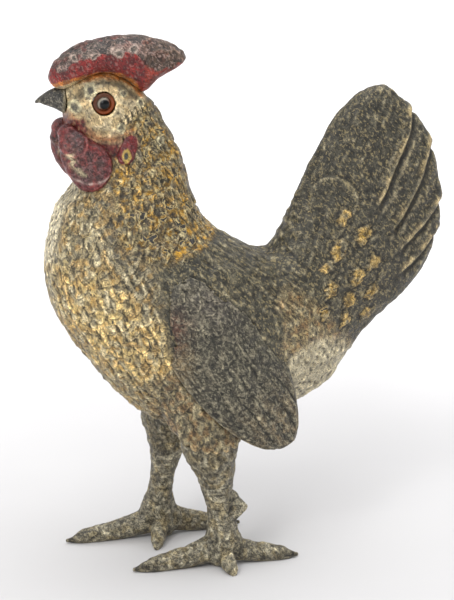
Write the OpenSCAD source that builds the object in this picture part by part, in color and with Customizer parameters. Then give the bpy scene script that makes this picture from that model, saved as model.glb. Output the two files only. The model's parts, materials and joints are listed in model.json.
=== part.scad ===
// Clockwork walking cockerel: a hollow painted metal bird in two half shells, with cast
// legs that swing on a hip shaft and a spring motor between two plates inside the body.
// Millimetres. +Z is up, the beak points along -X and the bird's left side faces -Y.
// The origin is on the ground, in the plane of symmetry, under the middle of the length.

/* [Shell] */
// Wall thickness of the two body shells
shell_t = 0.9; // [0.7:0.1:1.1]
// Width of the body, as a share of the nominal width
body_fullness = 1.0; // [0.97:0.01:1.03]
// Gap left between the half shells along the soldered seam
seam_gap = 0.06; // [0.04:0.02:0.1]

/* [Legs] */
// Gap between the end of each trouser on the shell and the top of the moving leg
trouser_gap = 0.45; // [0.45:0.05:0.8]
// Radius of the shank above the foot
shank_r = 3.4; // [3.2:0.1:3.6]
// Distance from the body's centre plane to the middle of each foot
foot_y = 12.8; // [12:0.1:13.5]
// Radius of the hip shaft
hip_shaft_r = 1.5; // [1.3:0.1:1.7]
// Radial running clearance of each arbor in its hole
running = 0.05; // [0.03:0.01:0.08]

/* [Motor] */
// Thickness of the two motor plates
plate_t = 0.8; // [0.6:0.1:1]
// Half the distance between the plates' inner faces
plate_y = 7.5; // [7.4:0.1:7.6]
// Number of turns that the mainspring is drawn with
spring_turns = 7; // [5:1:7]
// Thickness of the mainspring strip
spring_t = 0.4; // [0.3:0.05:0.5]
// Throw of the two crank pins
crank_throw = 1.7; // [1.5:0.1:1.7]

/* [Winding] */
// Width across the key's two wings
key_w = 20; // [18:1:21]
// Number of teeth on the ratchet wheel
ratchet_teeth = 12; // [12:1:14]

/* [Hidden] */
$fn = 48;

LEFT = -1;
RIGHT = 1;
cream = [0.78, 0.70, 0.52];
comb_red = [0.50, 0.10, 0.09];
horn = [0.20, 0.19, 0.19];
olive = [0.27, 0.26, 0.21];
stone = [0.42, 0.39, 0.32];
brass = [0.78, 0.62, 0.32];
steel = [0.60, 0.60, 0.62];
blued = [0.20, 0.22, 0.30];

// ---- Smooth lofts -----------------------------------------------------------------

// Catmull-Rom value between b and c at u from 0 to 1
function blend4(a, b, c, d, u) =
    b + 0.5 * u * ((c - a) + u * ((2 * a - 5 * b + 4 * c - d) + u * (3 * (b - c) + d - a)));

// A list of stations refined to steps values for each span
function refined(st, steps) = let (last = len(st) - 1)
    [for (i = [0:last - 1]) for (k = [0:steps - 1])
        blend4(st[max(i - 1, 0)], st[i], st[i + 1], st[min(i + 2, last)], k / steps), st[last]];

// One section: a half or full ellipse across the chord between two rail points.
// A station is [lower x, lower z, upper x, upper z, half width].
function section(s, grow, angles) =
    let (low = [s[0], s[1]], high = [s[2], s[3]], mid = (low + high) / 2,
         half = norm(low - high) / 2, along = (low - high) / (2 * half),
         reach = max(half + grow, 0.3), wide = max(s[4] + grow, 0.2))
    [for (a = angles) [mid[0] + along[0] * reach * cos(a), wide * sin(a),
                       mid[1] + along[1] * reach * cos(a)]];

// A solid loft with closed elliptical sections, grown by grow all round
module loft(stations, grow = 0, steps = 2, sides = 24) {
    ring = [for (j = [0:sides - 1]) 360 * j / sides];
    st = refined(stations, steps);
    n = len(st);
    pts = [for (s = st) each section(s, grow, ring)];
    polyhedron(points = pts, convexity = 8, faces = concat(
        [[for (j = [0:sides - 1]) j]],
        [for (i = [0:n - 2]) for (j = [0:sides - 1]) let (a = i * sides, k = (j + 1) % sides)
            each [[a + j, a + sides + k, a + k], [a + j, a + sides + j, a + sides + k]]],
        [[for (j = [sides - 1:-1:0]) (n - 1) * sides + j]]));
}

// Free-form solids are evaluated together as one mesh; a resize to no size changes nothing
module as_mesh() { resize([0, 0, 0]) children(); }

// Puts the children on one side of the bird: they are drawn for the right, +Y side
module on_side(side) { mirror([0, side < 0 ? 1 : 0, 0]) children(); }

// A round bar along Y at point p of the side view
module rod(p, y0, y1, r) { translate([p[0], y0, p[1]]) rotate([-90, 0, 0]) cylinder(h = y1 - y0, r = r); }

// A flat piece across Y: its 2D outline is drawn in the side view, round point p
module sheet(p, y0, y1) { translate([p[0], y1, p[1]]) rotate([90, 0, 0]) linear_extrude(y1 - y0) children(); }

// ---- Body form --------------------------------------------------------------------

// Beak root, crown and throat, neck, chest, belly, rump, then the fan of the tail
body_stations = [for (s = [
    [-50, 128.5, -50, 136, 3.8], [-50, 124, -45, 139.2, 6.6], [-48.5, 118.5, -37.5, 140.3, 8.8],
    [-47, 112.5, -29, 134.3, 9.8], [-48.4, 107.4, -23.5, 126.5, 10.6], [-52.2, 103.6, -19.3, 118.5, 13],
    [-54.6, 97.5, -16.5, 109, 16], [-56.2, 88, -13, 99, 19.6], [-55.3, 78.5, -7.5, 94, 22.2],
    [-51.5, 69.5, -2, 90.5, 23.8], [-43, 57, 2, 88.3, 24.4], [-31.5, 44, 5, 87.4, 23.8],
    [-16, 37, 5.8, 87.3, 22.4], [0, 38, 6.3, 87.6, 20.4], [14, 43, 7, 88.2, 17.6],
    [23.8, 48.2, 8, 89.4, 14.6], [29.2, 55.6, 9, 91.2, 12.2], [36, 63.4, 10.5, 94.2, 10.2],
    [47, 72.6, 12.5, 98.8, 8.6], [54.6, 82.8, 15, 104.4, 7.4], [57.4, 95, 18, 110.6, 6.4],
    [56.6, 105.5, 21.5, 117.4, 5.6], [54, 115.5, 26, 124.6, 4.8], [49, 124.2, 31, 129.4, 3.6],
    [43.5, 129.8, 35.6, 131.8, 2.2], [40.6, 131.8, 38, 132.3, 0.9]])
    [s[0], s[1], s[2], s[3], s[4] * body_fullness]];

hip = [-13, 60];
crank_at = [-13, 74];

// ---- Gear train layout ------------------------------------------------------------

// Each wheel and pinion is [teeth, module]. A pair's axes are half their teeth times the module apart.
great_gear = [48, 0.6];
second_pinion = [12, 0.6];
second_gear = [36, 0.5];
crank_pinion = [12, 0.5];
crank_gear = [36, 0.5];
third_pinion = [10, 0.5];
third_gear = [30, 0.4];
fly_pinion = [10, 0.4];
pressure_angle = 25;
addendum = 0.8;
dedendum = 1.05;
backlash = 0.13;

function spacing(a, b) = (a[0] + b[0]) * a[1] / 2;
function polar(r, a) = [r * cos(a), r * sin(a)];

// Directions from one axis to the next, in degrees from +X towards +Z
second_dir = 165;
crank_dir = 165;
third_dir = 125;
fly_dir = 110;
second_at = crank_at - polar(spacing(second_gear, crank_pinion), crank_dir);
great_at = second_at - polar(spacing(great_gear, second_pinion), second_dir);
third_at = crank_at + polar(spacing(crank_gear, third_pinion), third_dir);
fly_at = third_at + polar(spacing(third_gear, fly_pinion), fly_dir);

// Angle of a tooth on the second gear that puts it in mesh with a first one turned by t1
function in_mesh(n1, n2, dir, t1) = dir + 180 - 360 / n2 * (0.5 - n1 * (dir - t1) / 360);
great_turn = 0;
second_pinion_turn = in_mesh(great_gear[0], second_pinion[0], second_dir, great_turn);
second_wheel_turn = 0;
crank_pinion_turn = in_mesh(second_gear[0], crank_pinion[0], crank_dir, second_wheel_turn);
crank_wheel_turn = 0;
third_pinion_turn = in_mesh(crank_gear[0], third_pinion[0], third_dir, crank_wheel_turn);
third_wheel_turn = 0;
fly_pinion_turn = in_mesh(third_gear[0], fly_pinion[0], fly_dir, third_wheel_turn);

function involute(a) = tan(a) * 180 / PI - a;

// Outline of a spur gear with one tooth centred at angle turn
function gear_points(gear, turn) =
    let (n = gear[0], m = gear[1], pitch = n * m / 2, base = pitch * cos(pressure_angle),
         root = pitch - dedendum * m, tip = pitch + addendum * m,
         half = (90 / n) - backlash / 2 / pitch * 90 / PI,
         low = max(base, root), radii = [root, low, (low + pitch) / 2, pitch, (pitch + tip) / 2, tip],
         flank = [for (r = radii) half + involute(pressure_angle)
             - (r > base ? involute(acos(base / r)) : 0)])
    [for (i = [0:n - 1]) let (c = turn + 360 * i / n) each concat(
        [for (k = [0:5]) polar(radii[k], c - flank[k])],
        [for (k = [5:-1:0]) polar(radii[k], c + flank[k])])];

module gear(p, y0, y1, kind, turn) { sheet(p, y0, y1) polygon(gear_points(kind, turn)); }

// Where things sit across the motor, from the left plate to the right one
spring_y = [-6.9, -0.2];
ratchet_y = [0.9, 2.1];
great_y = [2.5, 3.9];
second_pinion_y = [2.1, 4.4];
second_wheel_y = [5, 6.2];
crank_pinion_y = [4.6, 6.8];
crank_wheel_y = [-3.2, -2];
third_pinion_y = [-3.8, -1.4];
third_wheel_y = [0, 1.2];
fly_pinion_y = [-0.5, 1.7];
fan_y = [2.6, 6.6];
plate_out = plate_y + plate_t;
crank_disc_y = [plate_out + 0.3, plate_out + 1.3];
lever_y = [10.2, 12.2];
arbor_r = 1.2;
winding_arbor_r = 1.8;
fly_arbor_r = 0.8;
wheel_fit = 0.01;

// ---- Shells -----------------------------------------------------------------------

key_hole_r = 3.4;
post_at = [[-30, 71], [-3, 54], [13, 75.5]];
post_r = 1.8;

// Everything on the right of the seam
module right_half() { translate([-100, seam_gap / 2, 0]) cube([200, 60, 200]); }

// The feathered trouser that each shell carries down over the top of the leg. It ends in a
// round edge about the hip, so the leg's own round top keeps the same gap as it swings.
trouser_end = 22.6;
trouser_r = 8.8;
function trouser_x(side) = leg_mid_x - side * 2.6;
module trouser(side, grow = 0) {
    intersection() {
        hull() {
            translate([-18, 11, 56]) scale([1, 0.9, 1]) sphere(r = 12 + grow, $fn = 28);
            translate([trouser_x(side), foot_y + 0.4, 37.5]) scale([1, 0.82, 1])
                sphere(r = trouser_r + grow, $fn = 28);
        }
        rod(hip, 0, 40, trouser_end + (grow < 0 ? 9 : 0));
    }
}

// Tongues on the left shell that reach behind the right one and line the seam up
tongue_at = [[-54, 90], [-31, 46], [46, 74], [12, 98], [-21, 116]];
tongue_r = 2.6;
module tongues() {
    for (part = [[-3.5, -seam_gap / 2, 0.1], [-1, 2.6, -0.1]]) difference() {
        intersection() {
            loft(body_stations, grow = part[2] - shell_t);
            union() { for (p = tongue_at) rod(p, part[0], part[1], tongue_r, $fn = 8); }
        }
        loft(body_stations, grow = -shell_t - 0.8);
    }
}

// The front of the face, the throat and the tip of the tail, where the hollow stops short so that
// the wall stays thick
lining_half = 12;
module linings() {
    sheet([0, 0], -lining_half, lining_half)
        polygon([[-52, 129.9], [-48.6, 129.9], [-48.4, 124], [-47, 118], [-45.2, 112.5], [-44.4, 109],
                 [-45.4, 105.5], [-48.6, 102.5], [-56, 102.5]]);
    sheet([0, 0], -lining_half, lining_half)
        polygon([[29, 134], [29, 126.6], [32, 128], [36, 130.1], [39, 130.6], [42.4, 128.4], [47, 123.4],
                 [52, 123.4], [52, 134]]);
}

module shell(side) {
    color(cream) as_mesh() {
        on_side(side) difference() {
            intersection() {
                union() { loft(body_stations); trouser(side); }
                right_half();
            }
            difference() {
                loft(body_stations, grow = -shell_t);
                linings();
            }
            trouser(side, -shell_t);
            if (side == RIGHT) rod(great_at, 5, 30, key_hole_r, $fn = 24);
            rod(eye_at, 4, 30, eye_r + 0.2, $fn = 24);
            for (p = wing_peg_at) rod(p, 5, 30, wing_peg_r + 0.15, $fn = 12);
        }
        if (side == LEFT) tongues();
    }
}

// ---- Head -------------------------------------------------------------------------

comb_stations = [[-52.4, 134.6, -54, 138.2, 2.2], [-50, 134.4, -52.2, 142.6, 4.4],
    [-46.5, 136, -46.9, 146.6, 5.4], [-40.5, 138.6, -40, 148.2, 5.9], [-34, 136.4, -33.6, 149, 6],
    [-29.5, 132.6, -26.5, 148.2, 5.8], [-25, 136.6, -21, 146.4, 5], [-20.8, 138.8, -17.6, 144.2, 4],
    [-17.6, 141, -16.6, 142.4, 2]];

module comb() {
    color(comb_red) as_mesh() difference() {
        loft(comb_stations, sides = 16);
        loft(body_stations, grow = 0.1);
        translate([beak_root[0] + 3, 0, beak_root[1]]) rotate([0, -90, 0]) cylinder(h = 11, r = 4.1);
    }
}

beak_len = 7.6;
beak_root = [-49.6, 132.4];
module beak() {
    color(horn) translate([beak_root[0], 0, beak_root[1]]) rotate([0, -90, 0]) {
        translate([0, 0, -1.4]) cylinder(h = 1.4 + 0.6, r = 2.2);
        translate([0, 0, 0.5]) cylinder(h = beak_len, r1 = 3.9, r2 = 0.3);
    }
}

eye_at = [-40.7, 132];
eye_r = 2.9;
eye_y = 7.7;
eye_dome = 1.5;
module eye(side) {
    color(horn) on_side(side) translate([eye_at[0], eye_y, eye_at[1]]) rotate([-90, 0, 0])
        rotate_extrude() polygon(concat([[0, -1.6], [eye_r, -1.6]],
            [for (k = [0:5]) [eye_r * cos(18 * k), eye_dome * sin(18 * k)]]));
}

// The wattle hangs below the beak, and a shallow lobe of it runs back along the cheek
module wattle(side) {
    color(comb_red) as_mesh() on_side(side) difference() {
        union() {
            hull() {
                translate([-49.6, 4.5, 124]) sphere(r = 2.6, $fn = 24);
                translate([-47.2, 7.4, 118.6]) scale([1, 0.5, 1]) sphere(r = 5.4, $fn = 24);
                translate([-44.4, 9.8, 115.2]) scale([1, 0.4, 1.15]) sphere(r = 5.6, $fn = 24);
            }
            translate([-45, 9.2, 112.4]) scale([1, 0.5, 1]) sphere(r = 3.6, $fn = 24);
        }
        loft(body_stations, grow = 0.1);
        translate([-100, -1, 0]) cube([200, 1.1, 200]);
    }
}

module ear_lobe(side) {
    color(comb_red) as_mesh() on_side(side) difference() {
        hull() {
            translate([-34.2, 9.6, 121.6]) scale([1, 0.5, 1]) sphere(r = 2.2, $fn = 24);
            translate([-35.4, 10.4, 118.2]) scale([1, 0.5, 1.2]) sphere(r = 2.5, $fn = 24);
        }
        loft(body_stations, grow = 0.1);
    }
}

// ---- Wings ------------------------------------------------------------------------

// Each station is [front x, front z, rear x, rear z, front y, rear y, bulge]
wing_stations = [
    [-31, 85, -27.5, 90, 18.8, 17.8, 1.2], [-31, 76, -17, 90.5, 20.4, 15.4, 5],
    [-28.5, 67, -8.5, 85.5, 20.8, 15.6, 6], [-24.5, 59, -1.5, 78, 21.6, 16.4, 6.2],
    [-19.5, 52, 3.5, 69, 22.2, 16.8, 5.4], [-13.5, 45.4, 7.4, 59, 22.2, 17.6, 4],
    [-7, 40, 9.6, 49, 21.8, 18.4, 2.6], [-0.5, 36.4, 10, 42, 21, 19, 1.4],
    [4.5, 35.8, 8.8, 37.8, 20.2, 19.4, 0.6]];
wing_t = 1.2;

function wing_row(s, lift, cuts) = [for (k = [0:cuts]) let (v = k / cuts)
    [s[0] + (s[2] - s[0]) * v, s[4] + (s[5] - s[4]) * v + s[6] * 4 * v * (1 - v) + lift,
     s[1] + (s[3] - s[1]) * v]];

// Triangles between two rows of n points that start at a and b; flip turns them over
function strip(a, b, n, flip = false) = [for (j = [0:n - 2]) each
    flip ? [[a + j, b + j + 1, b + j], [a + j, a + j + 1, b + j + 1]]
         : [[a + j, b + j, b + j + 1], [a + j, b + j + 1, a + j + 1]]];

module wing_blank(cuts = 10) {
    st = refined(wing_stations, 2);
    n = len(st);
    w = cuts + 1;
    pts = concat([for (s = st) each wing_row(s, wing_t, cuts)], [for (s = st) each wing_row(s, 0, cuts)]);
    inside = n * w;
    e = w - 1;
    polyhedron(points = pts, convexity = 6, faces = concat(
        [for (i = [0:n - 2]) each strip(i * w, (i + 1) * w, w)],
        [for (i = [0:n - 2]) each strip(inside + i * w, inside + (i + 1) * w, w, true)],
        strip(0, inside, w, true),
        strip((n - 1) * w, inside + (n - 1) * w, w),
        [for (i = [0:n - 2]) each [[i * w, inside + i * w, inside + (i + 1) * w],
                                   [i * w, inside + (i + 1) * w, (i + 1) * w]]],
        [for (i = [0:n - 2]) each [[i * w + e, inside + (i + 1) * w + e, inside + i * w + e],
                                   [i * w + e, (i + 1) * w + e, inside + (i + 1) * w + e]]]));
}

// Two pegs under each wing go through holes in the shell and are soldered inside
wing_peg_at = [[-22, 82], [-6, 68]];
wing_peg_r = 1;
module wing(side) {
    color(olive) as_mesh() on_side(side) {
        difference() {
            wing_blank();
            loft(body_stations, grow = 0.15);
        }
        intersection() {
            for (p = wing_peg_at) rod(p, 16, 26, wing_peg_r, $fn = 12);
            difference() {
                loft(body_stations, grow = 6);
                loft(body_stations, grow = -2.2);
            }
            scale([1, 10, 1]) translate([0, -18, 0]) wing_blank();
        }
    }
}

// ---- Legs -------------------------------------------------------------------------

// The legs stand in mid step: the left foot is behind the right one
leg_mid_x = -16;
left_foot_x = -10.4;
right_foot_x = -21.6;
left_toes = [24.5, 21.5, 10, 12.5];
right_toes = [27.5, 23, 12, 12.5];
// Angle from the middle of the swing to either end
step_angle = asin(crank_throw / norm(crank_at - hip));
hip_bore_y = 18.6;
hip_boss_y = 20.2;
core_r = 3.5;

// Front and rear of the leg from thigh to ankle, in the middle of its swing
leg_stations = [[-24.4, 38, -7.2, 38, 7.3], [-24.2, 34.5, -8.6, 34.5, 7.2], [-22.2, 30, -10, 30, 6.2],
    [-20.6, 25.5, -11.2, 25.5, 5], [-16 - shank_r * 1.12, 21, -12.2, 21, shank_r * 1.2],
    [-16 - shank_r, 17, -16 + shank_r * 0.92, 17, shank_r * 1.06],
    [-16 - shank_r * 1.1, 13.5, -12.7, 13.5, shank_r * 1.1], [-20.8, 10, -11.6, 10, 4.4],
    [-21.5, 7, -10.8, 7, 4.6], [-20, 4, -12, 4, 3.6]];

// A toe that arches down from the ankle to a blunt claw; angle is from straight back
module toe(x, len, angle, wide) {
    translate([x, foot_y, 0]) rotate(angle) loft([
        [-1, 1, -2, 11.4, wide], [len * 0.15, 0.8, len * 0.15, 9.2, wide],
        [len * 0.34, 0.2, len * 0.34, 6.8, wide * 0.84], [len * 0.6, -0.4, len * 0.6, 5.2, wide * 0.74],
        [len * 0.82, -0.6, len * 0.82, 3.8, wide * 0.6], [len, -0.3, len, 1.6, 0.7]], sides = 14);
}

// Toes: front, back, outer and inner. The ball under the ankle gives the foot its flat sole.
module foot_casting(x, toes) {
    toe(x, toes[0], 180, 3.3);
    toe(x, toes[1], 3, 3.1);
    toe(x, toes[2], 82, 2.9);
    toe(x, toes[3], 250, 2.9);
    translate([x, foot_y, 3.9]) sphere(r = 4.6, $fn = 24);
}

module spur(x) {
    hull() {
        translate([x + 2.4, foot_y, 20]) sphere(r = 2.2, $fn = 16);
        translate([x + 6.6, foot_y + 0.4, 16.8]) sphere(r = 0.9, $fn = 16);
        translate([x + 2.6, foot_y, 14.2]) sphere(r = 2, $fn = 16);
    }
}

module leg_casting(side, x, toes) {
    tilt = side * step_angle;
    core_x = trouser_x(side) - side * 3.1;
    intersection() {
        union() {
            foot_casting(x, toes);
            difference() {
                translate([hip[0], foot_y, hip[1]]) rotate([0, tilt, 0]) translate([-hip[0], 0, -hip[1]])
                    loft(leg_stations, sides = 28);
                rod(hip, 0, 40, trouser_end + trouser_gap);
            }
            hull() {
                translate([hip[0], 14.2, 53]) sphere(r = core_r, $fn = 20);
                translate([core_x, foot_y + 0.4, 35]) sphere(r = core_r, $fn = 20);
            }
            if (side == LEFT) spur(x);
        }
        translate([-80, 0, 0]) cube([120, 40, 70]);
    }
}

module leg(side, x, toes) {
    // The lever above the hip leans to the pin: forward on the left leg and back on the right
    tilt = side * step_angle;
    reach = norm(crank_at - hip);
    slot = [2, crank_throw * 2 + 2.4];
    color(stone) on_side(side) difference() {
        union() {
            as_mesh() leg_casting(side, x, toes);
            rod(hip, lever_y[0], hip_boss_y, 5);
            sheet(hip, lever_y[0], lever_y[1]) rotate(-tilt) translate([-2.4, 0]) square([4.8, reach + 4.4]);
        }
        rod(hip, 0, hip_bore_y, hip_shaft_r + running);
        sheet(hip, 0, lever_y[1] + 0.1) rotate(-tilt) translate([0, reach]) square(slot, center = true);
    }
}

module hip_shaft() { color(steel) rod(hip, -hip_bore_y + 0.3, hip_bore_y - 0.3, hip_shaft_r); }

module hip_washers() {
    color(brass) for (side = [LEFT, RIGHT]) on_side(side) difference() {
        rod(hip, plate_out + 0.1, lever_y[0] - 0.1, 3);
        rod(hip, 0, 20, hip_shaft_r + running);
    }
}

// ---- Motor frame ------------------------------------------------------------------

pillar_at = [[-29.5, 80], [-24.5, 62], [3, 51], [4.5, 81]];
pillar_r = 1.6;
screw_r = 1;

plate_outline = [[-33.5, 82], [-30, 94.5], [-20, 96], [-12.5, 89], [-1, 83.6], [8, 83.4], [21, 77],
    [24.5, 66], [20, 56], [8, 47.8], [-1, 47.8], [-16, 53.5], [-28.5, 59]];

module plate(side) {
    arbors = [[second_at, arbor_r], [crank_at, arbor_r], [third_at, arbor_r],
              [fly_at, fly_arbor_r], [great_at, winding_arbor_r], [hip, hip_shaft_r]];
    y0 = side < 0 ? -plate_out : plate_y;
    color(steel) difference() {
        sheet([0, 0], y0, y0 + plate_t) polygon(plate_outline);
        for (a = arbors) rod(a[0], y0 - 1, y0 + plate_t + 1, a[1] + running);
        for (p = pillar_at) rod(p, y0 - 1, y0 + plate_t + 1, screw_r + 0.1);
        if (side == LEFT) rod(spring_post_at, y0 - 1, y0 + plate_t + 1, spring_post_r + wheel_fit);
    }
}

module plate_pillars() {
    color(brass) for (p = pillar_at) difference() {
        rod(p, -plate_y, plate_y, pillar_r + 0.4);
        for (y0 = [-plate_y - 1, plate_y - 3.6]) rod(p, y0, y0 + 4.6, screw_r + 0.05);
    }
}

module pillar_screws() {
    color(steel) for (p = pillar_at) for (side = [LEFT, RIGHT]) on_side(side) difference() {
        union() {
            rod(p, plate_y - 3, plate_out + 0.5, screw_r);
            rod(p, plate_out + 0.02, plate_out + 1.1, 1.9);
        }
        sheet(p, plate_out + 0.6, plate_out + 2) square([5, 0.5], center = true);
    }
}

// Solid posts from each plate to the inside of the shell wall, which they are soldered to
module mount_posts(side) {
    color(brass) as_mesh() on_side(side) intersection() {
        for (p = post_at) rod(p, plate_out + 0.02, 30, post_r, $fn = 24);
        loft(body_stations, grow = -shell_t - 0.08);
    }
}

// ---- Mainspring, ratchet and key --------------------------------------------------

// The strip starts against the winding arbor and ends at angle spring_end
spring_in_r = winding_arbor_r + wheel_fit;
spring_out_r = 11.6;
spring_end = 110;
spring_post_r = 0.8;
spring_eye_r = spring_post_r + running;
spring_post_at = great_at + polar(spring_out_r + spring_t + spring_eye_r, spring_end);

// The post that holds the outer end of the spring, riveted in the left plate
module spring_post() {
    color(steel) rod(spring_post_at, -plate_out, spring_y[1] + 0.3, spring_post_r);
}

module mainspring() {
    steps = spring_turns * 20;
    turned = spring_end - 18 * steps;
    coil = [for (k = [0:steps]) [spring_in_r + (spring_out_r - spring_in_r) * k / steps, 18 * k + turned]];
    // The outer end is rolled into an open eye round its post
    eye = [for (k = [0:14]) spring_end + 180 - 20 * k];
    centre = spring_post_at - great_at;
    color(blued) sheet(great_at, spring_y[0], spring_y[1]) polygon(concat(
        [for (c = coil) polar(c[0], c[1])],
        [for (k = [1:len(eye) - 1]) centre + polar(spring_eye_r + spring_t, eye[k])],
        [for (k = [len(eye) - 1:-1:0]) centre + polar(spring_eye_r, eye[k])],
        [for (k = [steps - 1:-1:0]) polar(coil[k][0] + spring_t, coil[k][1])]));
}

key_y = [16.4, 26.4];
key_bore_deep = 3;
module winding_arbor() {
    color(steel) rod(great_at, -plate_out - 0.6, key_y[0] + key_bore_deep, winding_arbor_r);
}

ratchet_r = 5;
ratchet_root_r = 3.9;
module ratchet_wheel() {
    color(steel) difference() {
        sheet(great_at, ratchet_y[0], ratchet_y[1]) polygon([for (i = [0:ratchet_teeth - 1]) each
            [polar(ratchet_root_r, 360 * i / ratchet_teeth), polar(ratchet_r, 360 * i / ratchet_teeth + 3)]]);
        rod(great_at, 0, 4, winding_arbor_r + wheel_fit);
    }
}

key_barrel_r = 2.8;
key_stem_r = 1.6;
key_wing_r = 3.1;
key_sheet_t = 1.4;
// The flat of the key leans by this much from level
key_lean = 25;
module key_ring(r, h) {
    for (s = [-1, 1]) translate([great_at[0], key_y[1] - key_wing_r, great_at[1]]) rotate([0, key_lean, 0])
        translate([s * (key_w - 2 * key_wing_r) / 2, 0, -h / 2]) scale([1.25, 1, 1]) cylinder(h = h, r = r);
}

module winding_key() {
    color(steel) difference() {
        union() {
            rod(great_at, key_y[0], key_y[0] + 5, key_barrel_r);
            rod(great_at, key_y[0] + 4, key_y[1] - key_wing_r, key_stem_r);
            translate([great_at[0], key_y[1] - key_wing_r, great_at[1]]) rotate([0, key_lean, 0])
                cube([key_w - 4 * key_wing_r, 2.6, key_sheet_t], center = true);
            key_ring(key_wing_r, key_sheet_t);
        }
        rod(great_at, key_y[0] - 1, key_y[0] + key_bore_deep + 0.1, winding_arbor_r + wheel_fit);
        key_ring(key_wing_r - 1.5, 4);
    }
}

// ---- Great wheel and click --------------------------------------------------------

click_turn = 65;
click_arm = 9.4;
click_pivot = great_at + polar(click_arm, click_turn);
click_post_r = 0.9;
wheel_window_r = 2.6;

module great_wheel() {
    color(brass) difference() {
        gear(great_at, great_y[0], great_y[1], great_gear, great_turn);
        rod(great_at, 0, 6, winding_arbor_r + running);
        rod(click_pivot, 0, 6, click_post_r + wheel_fit);
        for (a = [160, 230, 300]) rod(great_at + polar(8.6, a), 0, 6, wheel_window_r);
    }
}

module click_post() {
    color(steel) union() {
        rod(click_pivot, ratchet_y[0] - 0.3, great_y[1], click_post_r);
        rod(click_pivot, ratchet_y[0] - 0.9, ratchet_y[0] - 0.2, click_post_r + 0.7);
    }
}

// The click rests on the tip of a tooth, just clear of it, as it does while the spring is wound
module click() {
    pivot = polar(click_arm, click_turn);
    nose = polar(ratchet_r + 0.12, click_turn + 34);
    color(steel) difference() {
        sheet(great_at, ratchet_y[0], ratchet_y[1]) polygon([
            pivot + polar(1.9, click_turn - 60), pivot + polar(2.1, click_turn - 20),
            pivot + polar(2, click_turn + 40),
            polar(8, click_turn + 20), nose + polar(1.3, click_turn + 40), nose,
            polar(ratchet_r + 1.2, click_turn + 22), polar(ratchet_r + 2, click_turn + 8)]);
        rod(click_pivot, 0, 4, click_post_r + running);
    }
}

module click_spring() {
    rim = 12.6;
    color(blued) sheet(great_at, ratchet_y[0] + 0.2, great_y[0]) polygon(concat(
        [for (a = [click_turn + 22:6:click_turn + 70]) polar(rim, a)],
        [for (a = [click_turn + 70:-6:click_turn + 22]) polar(rim - 0.4, a)]));
}

// ---- Train ------------------------------------------------------------------------

// An arbor with its pinion cut on it, running in both plates
module pinion_arbor(p, r, pinion, turn, y, reach = plate_out - 0.1) {
    color(steel) union() {
        rod(p, -reach, reach, r);
        gear(p, y[0], y[1], pinion, turn);
    }
}

// A brass wheel pressed on its arbor
module train_wheel(p, y, kind, turn, bore) {
    color(brass) difference() {
        gear(p, y[0], y[1], kind, turn);
        rod(p, y[0] - 1, y[1] + 1, bore + wheel_fit);
        for (a = [45:90:359]) rod(p + polar(kind[0] * kind[1] * 0.31, a), y[0] - 1, y[1] + 1, kind[1] * 3.4);
    }
}

crank_disc_r = 3.2;
crank_pin_r = 0.9;
module crank(side) {
    // The left pin is ahead of its arbor and the right one behind it
    pin = crank_at + [side * crank_throw, 0];
    color(steel) on_side(side) difference() {
        union() {
            rod(crank_at, crank_disc_y[0], crank_disc_y[1], crank_disc_r);
            rod(pin, crank_disc_y[0], lever_y[0] - 0.15, crank_pin_r);
        }
        rod(crank_at, 0, crank_disc_y[0] + 0.7, arbor_r + wheel_fit);
    }
}

module fly_fan() {
    color(brass) difference() {
        union() {
            rod(fly_at, fan_y[0], fan_y[1], 1.6);
            sheet(fly_at, fan_y[0], fan_y[1]) square([9.6, 0.6], center = true);
        }
        rod(fly_at, 0, 8, fly_arbor_r + wheel_fit);
    }
}

// ---- Nodes ------------------------------------------------------------------------

shell(LEFT);  // left_shell
shell(RIGHT);  // right_shell
comb();
beak();
eye(LEFT);  // left_eye
eye(RIGHT);  // right_eye
wattle(LEFT);  // left_wattle
wattle(RIGHT);  // right_wattle
ear_lobe(LEFT);  // left_ear_lobe
ear_lobe(RIGHT);  // right_ear_lobe
wing(LEFT);  // left_wing
wing(RIGHT);  // right_wing
plate(LEFT);  // left_plate
plate(RIGHT);  // right_plate
plate_pillars();
pillar_screws();
mount_posts(LEFT);  // left_mount_posts
mount_posts(RIGHT);  // right_mount_posts
hip_shaft();
hip_washers();
spring_post();
mainspring();
winding_arbor();
ratchet_wheel();
winding_key();
great_wheel();
click_post();
click_spring();
click();
pinion_arbor(second_at, arbor_r, second_pinion, second_pinion_turn, second_pinion_y);  // second_arbor
train_wheel(second_at, second_wheel_y, second_gear, second_wheel_turn, arbor_r);  // second_wheel
pinion_arbor(crank_at, arbor_r, crank_pinion, crank_pinion_turn, crank_pinion_y, crank_disc_y[0] + 0.6);  // crank_arbor
train_wheel(crank_at, crank_wheel_y, crank_gear, crank_wheel_turn, arbor_r);  // crank_wheel
crank(LEFT);  // left_crank
crank(RIGHT);  // right_crank
pinion_arbor(third_at, arbor_r, third_pinion, third_pinion_turn, third_pinion_y);  // third_arbor
train_wheel(third_at, third_wheel_y, third_gear, third_wheel_turn, arbor_r);  // third_wheel
pinion_arbor(fly_at, fly_arbor_r, fly_pinion, fly_pinion_turn, fly_pinion_y);  // fly_arbor
fly_fan();
leg(LEFT, left_foot_x, left_toes);  // left_leg
leg(RIGHT, right_foot_x, right_toes);  // right_leg
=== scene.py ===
"""Looks of the clockwork walking cockerel: a cast, cold-painted skin over the hollow shells,
enamelled eyes, a worn winding key and the metals of the spring motor inside.

Shapes are worked out in millimetres in the model's own frame: the beak points along -X, +Z is
up and the bird's left side faces -Y. They go back to metres when a mesh is written.
"""
import json
import math

import bmesh
import bpy
import numpy as np
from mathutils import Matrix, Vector
from mathutils.bvhtree import BVHTree
from mathutils.kdtree import KDTree


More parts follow.
